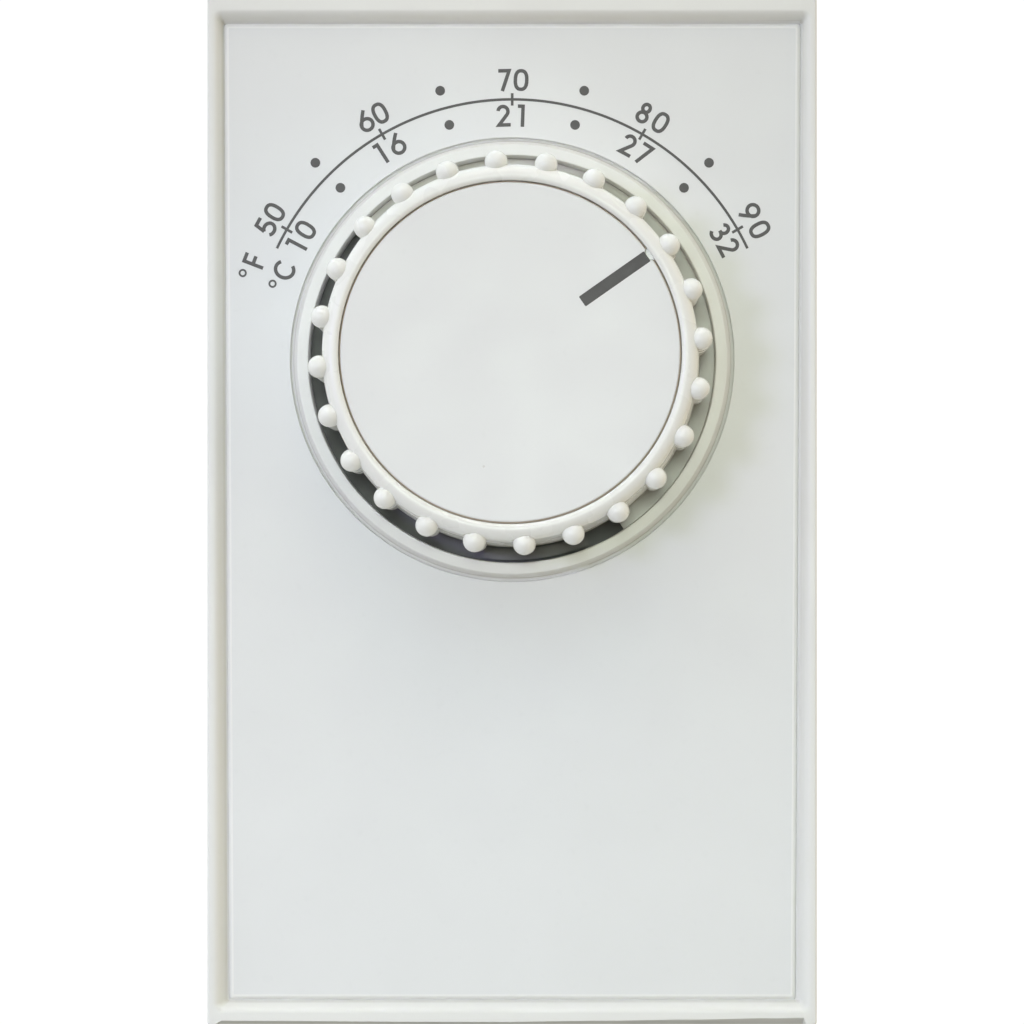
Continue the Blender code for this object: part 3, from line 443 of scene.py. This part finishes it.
def cover_profile():
    """Rounds of the frame's section, from the ceiling to the recess.

    Each is (inset from the outer edge, distance from the plate's edge or None, height): the inner
    rounds follow the plate, because the rails are narrower at the sides than at the ends.
    """
    corner = 0.28 * MM
    back = COVER_LOW.z
    rounds = [(COVER_WALL, None, CEILING), (COVER_WALL, None, back + 0.3 * MM)]
    rounds += [(COVER_WALL - 0.3 * MM, None, back), (0.25 * MM, None, back), (0.0, None, back + 0.25 * MM)]
    for i in range(5):
        angle = math.radians(22.5 * i)
        rounds.append((corner * (1 - math.cos(angle)), None, COVER_FRONT - corner * (1 - math.sin(angle))))
    width = 1.42 * MM
    valley = PLATE_FRONT - PLATE_CHAMFER - 0.12 * MM
    section = (
        (0.0, 0.0), (0.13, 0.015), (0.26, 0.065), (0.39, 0.165), (0.50, 0.30), (0.60, 0.48),
        (0.69, 0.67), (0.78, 0.835), (0.87, 0.94), (0.94, 0.985), (1.0, 1.0),
    )
    for across, down in section:
        rounds.append((None, width * (1 - across) + 0.03 * MM, COVER_FRONT - (COVER_FRONT - valley) * down))
    rounds += [(None, 0.03 * MM, RECESS_FLOOR)]
    return rounds


def taper(points, share):
    """Widens a loop towards the top and narrows it towards the bottom."""
    return [(x * (1 + PLATE_TAPER * share * y / HALF.y), y, z) for x, y, z in points]


def vent_slots(side, low, high, skip):
    """Rounded slots through the top (side 1) or bottom (side -1)."""
    pitch = 3.6 * MM
    half_width = 1.1 * MM
    slots = []
    for index in range(-8, 9):
        if abs(index) < skip:
            continue
        middle = (low + high) / 2
        loops = []
        for y in (HALF.y - COVER_WALL - MM, HALF.y + MM):
            outline = rounded_rectangle(half_width, (high - low) / 2, 0.9 * MM, 0.0, 4)
            loops.append([(x + index * pitch, side * y, z + middle) for x, z, _ in outline])
        slots.append(loft(loops))
    return merged(slots)


def bottom_slope():
    """Wedge that slopes the cover's lower front edge back, deeper to the right and fading at its ends."""
    stations = (
        (-33.8, 0.0), (-32.4, 0.60), (-26.0, 0.58), (-12.0, 0.48), (0.0, 0.46),
        (12.0, 0.60), (21.0, 0.73), (30.0, 0.88), (32.9, 0.93), (33.3, 0.0),
    )
    length = 1.6 * MM
    beyond = 0.5 * MM
    loops = []
    for x, depth in stations:
        rise = depth * (1.0 + beyond / length) * MM
        low = COVER_FRONT - length
        loops.append([
            (x * MM, -HALF.y - MM, low - 0.01 * MM), (x * MM, -HALF.y, low),
            (x * MM, -HALF.y + rise, COVER_FRONT + beyond), (x * MM, -HALF.y - MM, COVER_FRONT + beyond),
        ])
    return loft(loops)


def screw_seat():
    """Stepped hole through the cover's underside for the lock screw, as (radius, depth) in millimetres."""
    height = (SCREW_LOW.z + SCREW_HIGH.z) / 2
    steps = 48
    seat = []
    for radius, depth in ((3.45, -1.0), (3.3, 1.2), (1.8, 1.25), (1.8, 3.0)):
        angles = (2 * math.pi * i / steps for i in range(steps))
        ring = [(radius * MM * math.cos(a), radius * MM * math.sin(a)) for a in angles]
        seat.append([(x, -HALF.y + depth * MM, height + z) for x, z in ring])
    return loft(seat)


def cover_shell():
    """Moulded shell: frame, recess for the plate, collar round the dial, vents and the screw's seat."""
    loops = []
    for inset, distance, height in cover_profile():
        if distance is None:
            radius = max(0.45 * MM - inset, 0.12 * MM)
            loops.append(rounded_rectangle(HALF.x - inset, HALF.y - inset, radius, height))
        else:
            share = 1.0 - distance / (1.5 * MM)
            corner = 0.15 * MM + distance / 2
            outline = rounded_rectangle(PLATE_HALF.x + distance, PLATE_HALF.y + distance, corner, height)
            loops.append(taper(outline, share))
    cover = upright("cover_shell", loft(loops), IVORY, "housing")
    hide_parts("front_cover")
    opening = (WELL_RADIUS + COLLAR_OUTER) / 2
    cut(cover, dial_turn([(opening, CEILING - MM), (opening, RECESS_FLOOR + MM)]))
    edge = 0.2 * MM
    collar = [
        (WELL_RADIUS, COVER_FRONT - edge), (WELL_RADIUS + 0.06 * MM, COVER_FRONT - 0.06 * MM),
        (WELL_RADIUS + edge, COVER_FRONT),
    ]
    collar += arc_heights(COLLAR_TOP_OUTER - 0.16 * MM, COVER_FRONT - 0.16 * MM, 0.16 * MM, 0.0, 72.0, 5)
    collar += [(COLLAR_OUTER, PLATE_FRONT + 0.02 * MM), (COLLAR_OUTER + 0.05 * MM, PLATE_FRONT - 0.3 * MM)]
    collar += [(COLLAR_OUTER + 0.2 * MM, PLATE_FRONT - 0.4 * MM), (WINDOW_RADIUS, PLATE_FRONT - 0.44 * MM)]
    collar += [(WINDOW_RADIUS, PLATE_LOW.z - 0.1 * MM), (COLLAR_OUTER, RECESS_FLOOR - 0.5 * MM)]
    collar += [(COLLAR_OUTER - 0.5 * MM, CEILING + 0.4 * MM), (WELL_RADIUS, CEILING + 0.4 * MM)]
    join(cover, dial_turn(collar, ring=True))
    cut(cover, vent_slots(1, 6 * MM, 26 * MM, 0))
    cut(cover, vent_slots(-1, 17 * MM, 26 * MM, 2))
    cut(cover, bottom_slope())
    cut(cover, screw_seat())
    level(cover)


def face_plate():
    """Bevelled sheet with a window for the collar; its chamfer and a thin rim of its face carry a painted
    highlight, a paler grey than its face.
    """
    burr = 0.08 * MM
    painted_highlight_rim = 0.16 * MM
    rows = [
        (0.02 * MM, PLATE_LOW.z), (0.0, PLATE_FRONT - PLATE_CHAMFER),
        (PLATE_CHAMFER_WIDTH - burr, PLATE_FRONT - burr * 0.25), (PLATE_CHAMFER_WIDTH, PLATE_FRONT),
        (PLATE_CHAMFER_WIDTH + painted_highlight_rim, PLATE_FRONT),
    ]
    loops = []
    for inset, height in rows:
        half = PLATE_HALF - Vector((inset, inset))
        outline = rounded_rectangle(half.x, half.y, 0.3 * MM - inset / 2, height, 4)
        loops.append(taper(outline, 1.0))
    plate = upright("bevelled_face_plate", loft(loops), PLATE_GREY, "housing")
    # Chamfer and rim faces get the paler grey: a painted highlight along the plate's edge.
    paint(plate, PAINTED_EDGE_HIGHLIGHT, lambda face: len(face.vertices) == 4 and face.normal.y < -0.2)
    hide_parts("face_plate")
    worn = 0.1 * MM
    window = WINDOW_RADIUS + 0.02 * MM
    cut(plate, dial_turn([
        (window, PLATE_LOW.z - MM), (window, PLATE_FRONT - worn), (window + worn, PLATE_FRONT + 0.01 * MM),
        (window + worn, PLATE_FRONT + MM),
    ]))
    level(plate)


# ---------------------------------------------------------------- printed scale


def ribbon(path, width, low, high):
    """A flat stroke of even width along a path, as a closed solid."""
    closed = path[0] == path[-1]
    points = [Vector(p) for p in (path[:-1] if closed else path)]
    count = len(points)
    left, right = [], []
    for i, point in enumerate(points):
        before = points[i - 1] if closed or i > 0 else point
        after = points[(i + 1) % count] if closed or i < count - 1 else point
        into = (point - before).normalized() if point != before else (after - point).normalized()
        out = (after - point).normalized() if after != point else into
        side_in = Vector((-into.y, into.x))
        side_out = Vector((-out.y, out.x))
        side = side_in + side_out
        side = side / max(side.length_squared / 2, 0.35)
        left.append(point + side * width / 2)
        right.append(point - side * width / 2)
    bm = bmesh.new()
    rows = []
    for edge, height in ((left, high), (right, high), (right, low), (left, low)):
        rows.append([bm.verts.new((p.x, p.y, height)) for p in edge])
    spans = count if closed else count - 1
    for i in range(spans):
        j = (i + 1) % count
        for first, second in zip(rows, rows[1:] + rows[:1]):
            bm.faces.new((first[i], first[j], second[j], second[i]))
    if not closed:
        bm.faces.new([row[0] for row in rows])
        bm.faces.new([row[-1] for row in rows])
    return bm


def bow(x, y, radius_x, radius_y, start, end, steps=20, square=2.0):
    """Part of an oval, with angles in degrees, anticlockwise from the right.

    A square of 2 makes an ellipse, and more than 2 flattens its sides.
    """
    points = []
    for i in range(steps + 1):
        angle = math.radians(start + (end - start) * i / steps)
        across = math.copysign(abs(math.cos(angle)) ** (2.0 / square), math.cos(angle))
        up = math.copysign(abs(math.sin(angle)) ** (2.0 / square), math.sin(angle))
        points.append((x + radius_x * across, y + radius_y * up))
    if abs(end - start) == 360.0:
        points[-1] = points[0]
    return points


SIX = [
    bow(0.35, 0.345, 0.268, 0.262, 0.0, 360.0, 32),
    [(0.53, 0.99), (0.37, 0.80), (0.23, 0.61), (0.14, 0.47), (0.09, 0.37)],
]

# Outer width of each character and its strokes, in heights of a digit
GLYPHS = {
    "0": (0.68, [bow(0.34, 0.5, 0.258, 0.418, 0.0, 360.0, 40, 2.5)]),
    "1": (0.32, [[(0.0, 0.93), (0.237, 0.93), (0.237, 0.0)]]),
    "2": (0.64, [bow(0.31, 0.69, 0.225, 0.228, 172.0, -38.0) + [(0.11, 0.082), (0.64, 0.082)]]),
    "3": (0.63, [
        bow(0.30, 0.715, 0.185, 0.203, 160.0, -90.0) + [(0.25, 0.512)],
        [(0.25, 0.512)] + bow(0.30, 0.297, 0.245, 0.215, 90.0, -152.0),
    ]),
    "5": (0.69, [
        [(0.59, 0.918), (0.20, 0.918), (0.125, 0.47)],
        bow(0.335, 0.325, 0.272, 0.243, 142.0, -148.0),
    ]),
    "6": (0.70, SIX),
    "7": (0.58, [[(0.0, 0.918), (0.49, 0.918), (0.16, 0.0)]]),
    "8": (0.61, [
        bow(0.305, 0.735, 0.165, 0.182, 0.0, 360.0, 28),
        bow(0.305, 0.30, 0.222, 0.218, 0.0, 360.0, 30),
    ]),
    "9": (0.70, [[(0.70 - x, 1.0 - y) for x, y in stroke] for stroke in SIX]),
    "F": (0.49, [[(0.082, 0.0), (0.082, 0.918), (0.49, 0.918)], [(0.082, 0.49), (0.47, 0.49)]]),
    "C": (0.88, [bow(0.45, 0.5, 0.368, 0.418, 42.0, 318.0, 28)]),
    "°": (0.37, [bow(0.185, 0.80, 0.143, 0.143, 0.0, 360.0, 24)]),
}

# Angle, then for the outer and the inner row: the number, its gap and its shift along the scale
NUMBERS = (
    (-60.0, ("50", 0.09, 0.01), ("10", 0.33, 0.08)),
    (-30.0, ("60", 0.08, 0.01), ("16", 0.35, 0.03)),
    (0.0, ("70", 0.10, 0.06), ("21", 0.32, -0.08)),
    (30.0, ("80", 0.22, 0.04), ("27", 0.22, 0.09)),
    (60.0, ("90", 0.20, 0.05), ("32", 0.15, 0.10)),
)


def numeral(text, radius, degrees, gap, shift=0.0):
    """Strokes of a text that follows the scale's curve, centred on an angle clockwise from up."""
    height = DIGIT_HEIGHT
    total = sum(GLYPHS[c][0] for c in text) + gap * (len(text) - 1)
    along = shift - total / 2
    strokes = []
    for character in text:
        width, paths = GLYPHS[character]
        turn_to = math.radians(degrees) + (along + width / 2) * height / radius
        thickness = (DEGREE_STROKE if character == "°" else STROKE) * height
        for path in paths:
            placed = []
            for x, y in path:
                across = (x - width / 2) * height
                out = radius + (y - 0.5) * height
                placed.append((
                    out * math.sin(turn_to) + across * math.cos(turn_to),
                    DIAL_Y + out * math.cos(turn_to) - across * math.sin(turn_to),
                ))
            strokes.append(ribbon(placed, thickness, INK_LOW, INK_HIGH))
        along += width + gap
    return strokes


def ink_piece(name, strokes):
    """One printed mark; strokes that cross are joined, so that no face lies inside another."""
    piece = upright(name, strokes[0], INK, "housing", smooth=20.0)
    for stroke in strokes[1:]:
        join(piece, stroke)


def dial_point(radius, angle):
    """Point at a radius from the dial's axis and an angle clockwise from up."""
    return (radius * math.sin(angle), DIAL_Y + radius * math.cos(angle))


def printed_scale():
    """Arc with a tick every 10 F, dots halfway, and two rows of numbers with their units."""
    steps = 160
    line = [dial_point(SCALE_RADIUS, SCALE_REACH * (2 * i / steps - 1)) for i in range(steps + 1)]
    ticks = []
    for degrees in range(-60, 61, 30):
        angle = math.radians(degrees)
        ends = [dial_point(SCALE_RADIUS + out, angle) for out in (-TICK_HALF, TICK_HALF)]
        ticks.append(ribbon(ends, TICK_WIDTH, INK_LOW, INK_HIGH))
    ink_piece("scale_lines", [ribbon(line, LINE_WIDTH, INK_LOW, INK_HIGH)] + ticks)
    dots = []
    for degrees in (-45, -15, 15, 45):
        for radius in (OUTER_ROW, INNER_ROW):
            centre = dial_point(radius, math.radians(degrees))
            dots.append(turn([(DOT_RADIUS, INK_LOW), (DOT_RADIUS, INK_HIGH)], 32, centre))
    ink_piece("scale_dots", dots)
    fahrenheit = []
    celsius = []
    for degrees, (outer, outer_gap, outer_shift), (inner, inner_gap, inner_shift) in NUMBERS:
        fahrenheit += numeral(outer, OUTER_ROW + 0.15 * MM, degrees, outer_gap, outer_shift)
        celsius += numeral(inner, INNER_ROW + 0.12 * MM, degrees, inner_gap, inner_shift)
    ink_piece("numerals_fahrenheit", fahrenheit)
    ink_piece("numerals_celsius", celsius)
    units = numeral("°F", OUTER_ROW - 0.22 * MM, -70.5, 0.25)
    units += numeral("°C", INNER_ROW + 0.2 * MM, -69.8, 0.14)
    ink_piece("unit_marks", units)


# ---------------------------------------------------------------- dial


def knob():
    """Cup with a rounded rim, a hub for the shaft, 24 ribs with round tops and the pointer's key."""
    top = KNOB_HIGH.z
    bottom = KNOB_LOW.z
    inner = DISC_RADIUS + 0.2 * MM
    web_top = DISC_LOW.z - 0.3 * MM
    web_bottom = web_top - 1.5 * MM
    hub = 5.6 * MM
    hub_end = bottom + 1.1 * MM
    socket = 3.3 * MM
    socket_end = 40.5 * MM
    lip = RING_CREST_RADIUS - inner
    profile = [(0.0, web_top), (inner, web_top)]
    for angle in (math.radians(18.0 * i) for i in range(5)):
        profile.append((inner + lip * (1 - math.cos(angle)), top - 0.35 * MM * (1 - math.sin(angle))))
    for angle in (math.radians(7.5 * i) for i in range(12)):
        out = (KNOB_RADIUS + 0.1 * MM - RING_CREST_RADIUS) * math.sin(angle)
        profile.append((RING_CREST_RADIUS + out, top - 1.4 * MM * (1 - math.cos(angle))))
    profile += [(KNOB_FOOT_RADIUS, bottom + 0.15 * MM), (KNOB_FOOT_RADIUS - 0.15 * MM, bottom)]
    profile += [(KNOB_FOOT_RADIUS - 1.5 * MM, bottom), (KNOB_RADIUS - 1.8 * MM, web_bottom - MM)]
    profile += [(KNOB_RADIUS - 2.8 * MM, web_bottom), (hub + 0.3 * MM, web_bottom)]
    profile += [(hub, web_bottom - 0.3 * MM), (hub, hub_end), (socket, hub_end)]
    profile += [(socket, socket_end), (0.0, socket_end)]
    ring = upright("knob_ring", dial_turn(profile), KNOB_IVORY, "dial")
    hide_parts("knob")
    shank = RIB_RADIUS - 0.12 * MM
    outline = arc_heights(0.0, top - RIB_RADIUS, RIB_RADIUS, 0.0, 90.0, 9)
    outline += [(shank, top - 2.2 * RIB_RADIUS), (shank, bottom + 0.6 * MM)]
    outline += [(RIB_RADIUS - 0.4 * MM, bottom + 0.3 * MM), (0.0, bottom + 0.3 * MM)]
    ribs = []
    for index in range(RIB_COUNT):
        centre = dial_point(RIB_CIRCLE, RIB_PHASE + 2 * math.pi * index / RIB_COUNT)
        ribs.append(turn(outline, 28, centre))
    join(ring, merged(ribs))
    key_centre = dial_point(inner + 0.1 * MM, POINTER_ANGLE)
    key_radius = 0.74 * MM
    key_top = DISC_HIGH.z - 0.3 * MM
    key_bottom = web_top - 0.4 * MM
    key = [(0.0, key_top), (key_radius - 0.08 * MM, key_top), (key_radius, key_top - 0.1 * MM)]
    key += [(key_radius, key_bottom), (0.0, key_bottom)]
    join(ring, turn(key, 32, key_centre))
    level(ring)


def pointer_bar(grow, floor, ceiling):
    """Long rounded block at the pointer's angle; grow widens its outline on every side."""
    half_width = 0.66 * MM
    inner_end = 9.6 * MM
    outer_end = DISC_RADIUS - 0.28 * MM
    half_length = (outer_end - inner_end) / 2
    to_middle = Vector((0.0, (inner_end + outer_end) / 2, 0.0))
    to_dial = Vector((0.0, DIAL_Y, 0.0))
    spin = Matrix.Rotation(-POINTER_ANGLE, 3, "Z")
    loops = []
    for height in (floor, ceiling):
        outline = rounded_rectangle(half_width + grow, half_length + grow, 0.12 * MM, height, 4)
        loops.append([spin @ (Vector(point) + to_middle) + to_dial for point in outline])
    return loft(loops)


def dial_disc():
    """Flat insert with a round edge and old glue in its gap.

    It has a notch for the knob's key, the tiny mark of its moulding gate and the pointer's groove.
    """
    high = DISC_HIGH.z
    low = DISC_LOW.z
    edge = 0.15 * MM
    glue = DISC_RADIUS + 0.14 * MM
    profile = [(0.0, high), (DISC_RADIUS - 2 * edge, high)]
    profile += arc_heights(DISC_RADIUS - edge, high - edge, edge, 0.0, 90.0, 5)
    profile += [(DISC_RADIUS, high - 0.3 * MM), (glue, high - 0.38 * MM), (glue, low), (0.0, low)]
    disc = upright("dial_disc", dial_turn(profile), DISC_GREY, "dial")
    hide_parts("knob_disc")
    reach = DISC_RADIUS + 0.02 * MM
    paint(disc, OLD_GLUE, lambda face: math.hypot(face.center.x, face.center.z - DIAL_Y) > reach)
    notch = dial_point(DISC_RADIUS + 0.3 * MM, POINTER_ANGLE)
    notch_radius = 0.78 * MM
    cut(disc, turn([(notch_radius, low - MM), (notch_radius, high + MM)], 32, notch))
    gate = dial_point(12.8 * MM, math.radians(193.0))
    cut(disc, turn([(0.12 * MM, high - 0.05 * MM), (0.2 * MM, high + 0.1 * MM)], 16, gate))
    groove = high - 0.12 * MM
    cut(disc, pointer_bar(0.0, groove, high + MM))
    mark = pointer_bar(-0.01 * MM, groove + 0.005 * MM, high - 0.03 * MM)
    upright("pointer_mark", mark, POINTER_INK, "dial")
    level(disc)


def stop_flange():
    """Flange under the knob: full width over the stop's sector, and a narrower ring elsewhere."""
    start, end = STOP_SECTOR
    edge = 0.04 * MM
    low = STOP_LOW.z
    high = STOP_HIGH.z
    arcs = (
        (WELL_RADIUS - 0.02 * MM, start, end, 120),
        (FLANGE_NARROW, end, start + 2 * math.pi, 100),
    )
    loops = []
    for inset, height in ((edge, low), (0.0, low + edge), (0.0, high - edge), (edge, high)):
        loop = []
        for radius, first, last, steps in arcs:
            for i in range(steps + 1):
                x, y = dial_point(radius - inset, first + (last - first) * i / steps)
                loop.append((x, y, height))
        loops.append(loop)
    flange = upright("stop_flange", loft(loops), FLANGE_IVORY, "dial")
    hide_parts("stop_ring")
    cut(flange, dial_turn([(FLANGE_BORE, low - MM), (FLANGE_BORE, high + MM)], 96))
    level(flange)


# ---------------------------------------------------------------- finishes of the CAD nodes


FINISHES = {  # every other node is zinc-plated steel
    "base_plate": IVORY,
    "dial_well": WELL_BLACK,
    "switch_base": BLACK,
    "bimetal": BIMETAL,
    "push_pin": CERAMIC,
    "contact_blade": COPPER,
    "magnet": FERRITE,
    "moving_contact": SILVER,
    "fixed_contact": SILVER,
    "shaft_clip": SPRING_STEEL,
    "friction_washer": SPRING_STEEL,
    "range_spring": SPRING_STEEL,
    "bushing": BRASS,
    "bushing_nut": BRASS,
    "range_cam": BRASS,
    "calibration_screw": BRASS,
    "line_terminal": BRASS,
    "load_terminal": BRASS,
}


def finish_cad_nodes():
    """Gives each CAD node that still shows its own material, and rounds the large ones' edges."""
    for name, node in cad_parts.items():
        node.data.materials.clear()
        node.data.materials.append(FINISHES.get(name, STEEL))
    for name in ("base_plate", "switch_base", "cover_screw"):
        soften(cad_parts[name], 0.15 * MM)


# ---------------------------------------------------------------- stage, light and camera


def stage():
    """Pale round floor well below the thermostat, which hangs on a wall that isn't shown."""
    floor_drop = 0.9
    floor_radius = 0.62
    in_front = 0.06
    bm = bmesh.new()
    bmesh.ops.create_circle(bm, cap_ends=True, segments=96, radius=floor_radius)
    bmesh.ops.translate(bm, vec=(0.0, -in_front, COVER_LOW.y - floor_drop), verts=bm.verts)
    mesh = bpy.data.meshes.new("floor")
    bm.to_mesh(mesh)
    bm.free()
    mesh.materials.append(painted_floor("pale_floor", (0.76, 0.76, 0.75)))
    floor = bpy.data.objects.new("floor", mesh)
    bpy.context.scene.collection.objects.link(floor)


def area_light(name, place, aim, size, spread, power, colour):
    """Round soft lamp that points at a place; its spread is in degrees."""
    light = bpy.data.lights.new(name, "AREA")
    light.shape = "DISK"
    light.size = size
    light.spread = math.radians(spread)
    light.energy = power
    light.color = colour
    lamp = bpy.data.objects.new(name, light)
    lamp.location = place
    lamp.rotation_euler = (Vector(aim) - Vector(place)).to_track_quat("-Z", "Y").to_euler()
    bpy.context.scene.collection.objects.link(lamp)


SKY = (  # the way each part of the surroundings lies, and its light at full face
    ((0.0, 0.0, 1.0), (0.60, 0.82, 1.01)),
    ((-1.0, 0.0, 0.0), (0.96, 0.94, 0.83)),
    ((1.0, 0.0, 0.0), (0.87, 0.72, 0.51)),
    ((0.0, 0.0, -1.0), (0.02, 0.02, 0.02)),
)


def surroundings(tree):
    """Soft light from above, left, right and below, each fading with the cosine of the angle from it."""
    direction = tree.nodes.new("ShaderNodeTexCoord").outputs["Generated"]
    total = None
    for axis, colour in SKY:
        facing = tree.nodes.new("ShaderNodeVectorMath")
        facing.operation = "DOT_PRODUCT"
        facing.inputs[1].default_value = axis
        tree.links.new(direction, facing.inputs[0])
        ahead = tree.nodes.new("ShaderNodeMath")
        ahead.operation = "MAXIMUM"
        ahead.inputs[1].default_value = 0.0
        tree.links.new(facing.outputs["Value"], ahead.inputs[0])
        tinted = tree.nodes.new("ShaderNodeVectorMath")
        tinted.operation = "SCALE"
        tinted.inputs[0].default_value = colour
        tree.links.new(ahead.outputs[0], tinted.inputs["Scale"])
        if total is None:
            total = tinted.outputs["Vector"]
            continue
        both = tree.nodes.new("ShaderNodeVectorMath")
        tree.links.new(total, both.inputs[0])
        tree.links.new(tinted.outputs["Vector"], both.inputs[1])
        total = both.outputs["Vector"]
    return total


def studio():
    """Soft light all round, two broad lamps overhead, and two faint beams from the front.

    The beams light the lower half, the second one from the left. The camera itself sees plain white.
    """
    world = bpy.data.worlds.new("studio")
    bpy.context.scene.world = world
    world.use_nodes = True
    tree = world.node_tree
    tree.nodes.clear()
    output = tree.nodes.new("ShaderNodeOutputWorld")
    mix = tree.nodes.new("ShaderNodeMixShader")
    seen = tree.nodes.new("ShaderNodeLightPath")
    white = tree.nodes.new("ShaderNodeBackground")
    white.inputs["Color"].default_value = (1.0, 1.0, 1.0, 1.0)
    white.inputs["Strength"].default_value = 1.05
    soft = tree.nodes.new("ShaderNodeBackground")
    tree.links.new(surroundings(tree), soft.inputs["Color"])
    tree.links.new(seen.outputs["Is Camera Ray"], mix.inputs["Fac"])
    tree.links.new(soft.outputs[0], mix.inputs[1])
    tree.links.new(white.outputs[0], mix.inputs[2])
    tree.links.new(mix.outputs[0], output.inputs["Surface"])
    middle = (0.0, -0.03, DIAL_Y)
    lower_half = (0.0, -0.03, -0.075)
    lower_left = (-0.04, -0.03, -0.03)
    area_light("lamp_above", (0.05, -0.62, 0.66), middle, 0.6, 180.0, 0.85, (1.00, 0.91, 0.83))
    area_light("lamp_high", (0.0, -0.35, 0.85), middle, 0.6, 180.0, 1.12, (1.00, 0.65, 0.22))
    area_light("beam_low", (0.0, -1.1, 0.08), lower_half, 0.25, 24.0, 0.061, (0.86, 1.00, 0.85))
    area_light("beam_left", (-0.55, -0.9, 0.08), lower_left, 0.25, 24.0, 0.066, (0.64, 0.60, 1.00))
    bpy.context.scene.view_settings.view_transform = "Standard"


def camera():
    """Square on to the plate, a little right of and below its centre."""
    distance = 0.375
    eye = Vector((6.7 * MM, PLATE_FRONT * -1 - distance, -6.4 * MM))
    data = bpy.data.cameras.new("camera")
    data.sensor_width = 36.0
    data.lens = 116.68
    data.shift_x = -0.0581
    data.shift_y = 0.0547
    data.clip_start = 0.01
    data.clip_end = 10.0
    view = bpy.data.objects.new("camera", data)
    view.location = eye
    view.rotation_euler = (math.radians(90.0), 0.0, 0.0)
    bpy.context.scene.collection.objects.link(view)
    bpy.context.scene.camera = view


cover_shell()
face_plate()
printed_scale()
knob()
dial_disc()
stop_flange()
finish_cad_nodes()
stage()
studio()
camera()
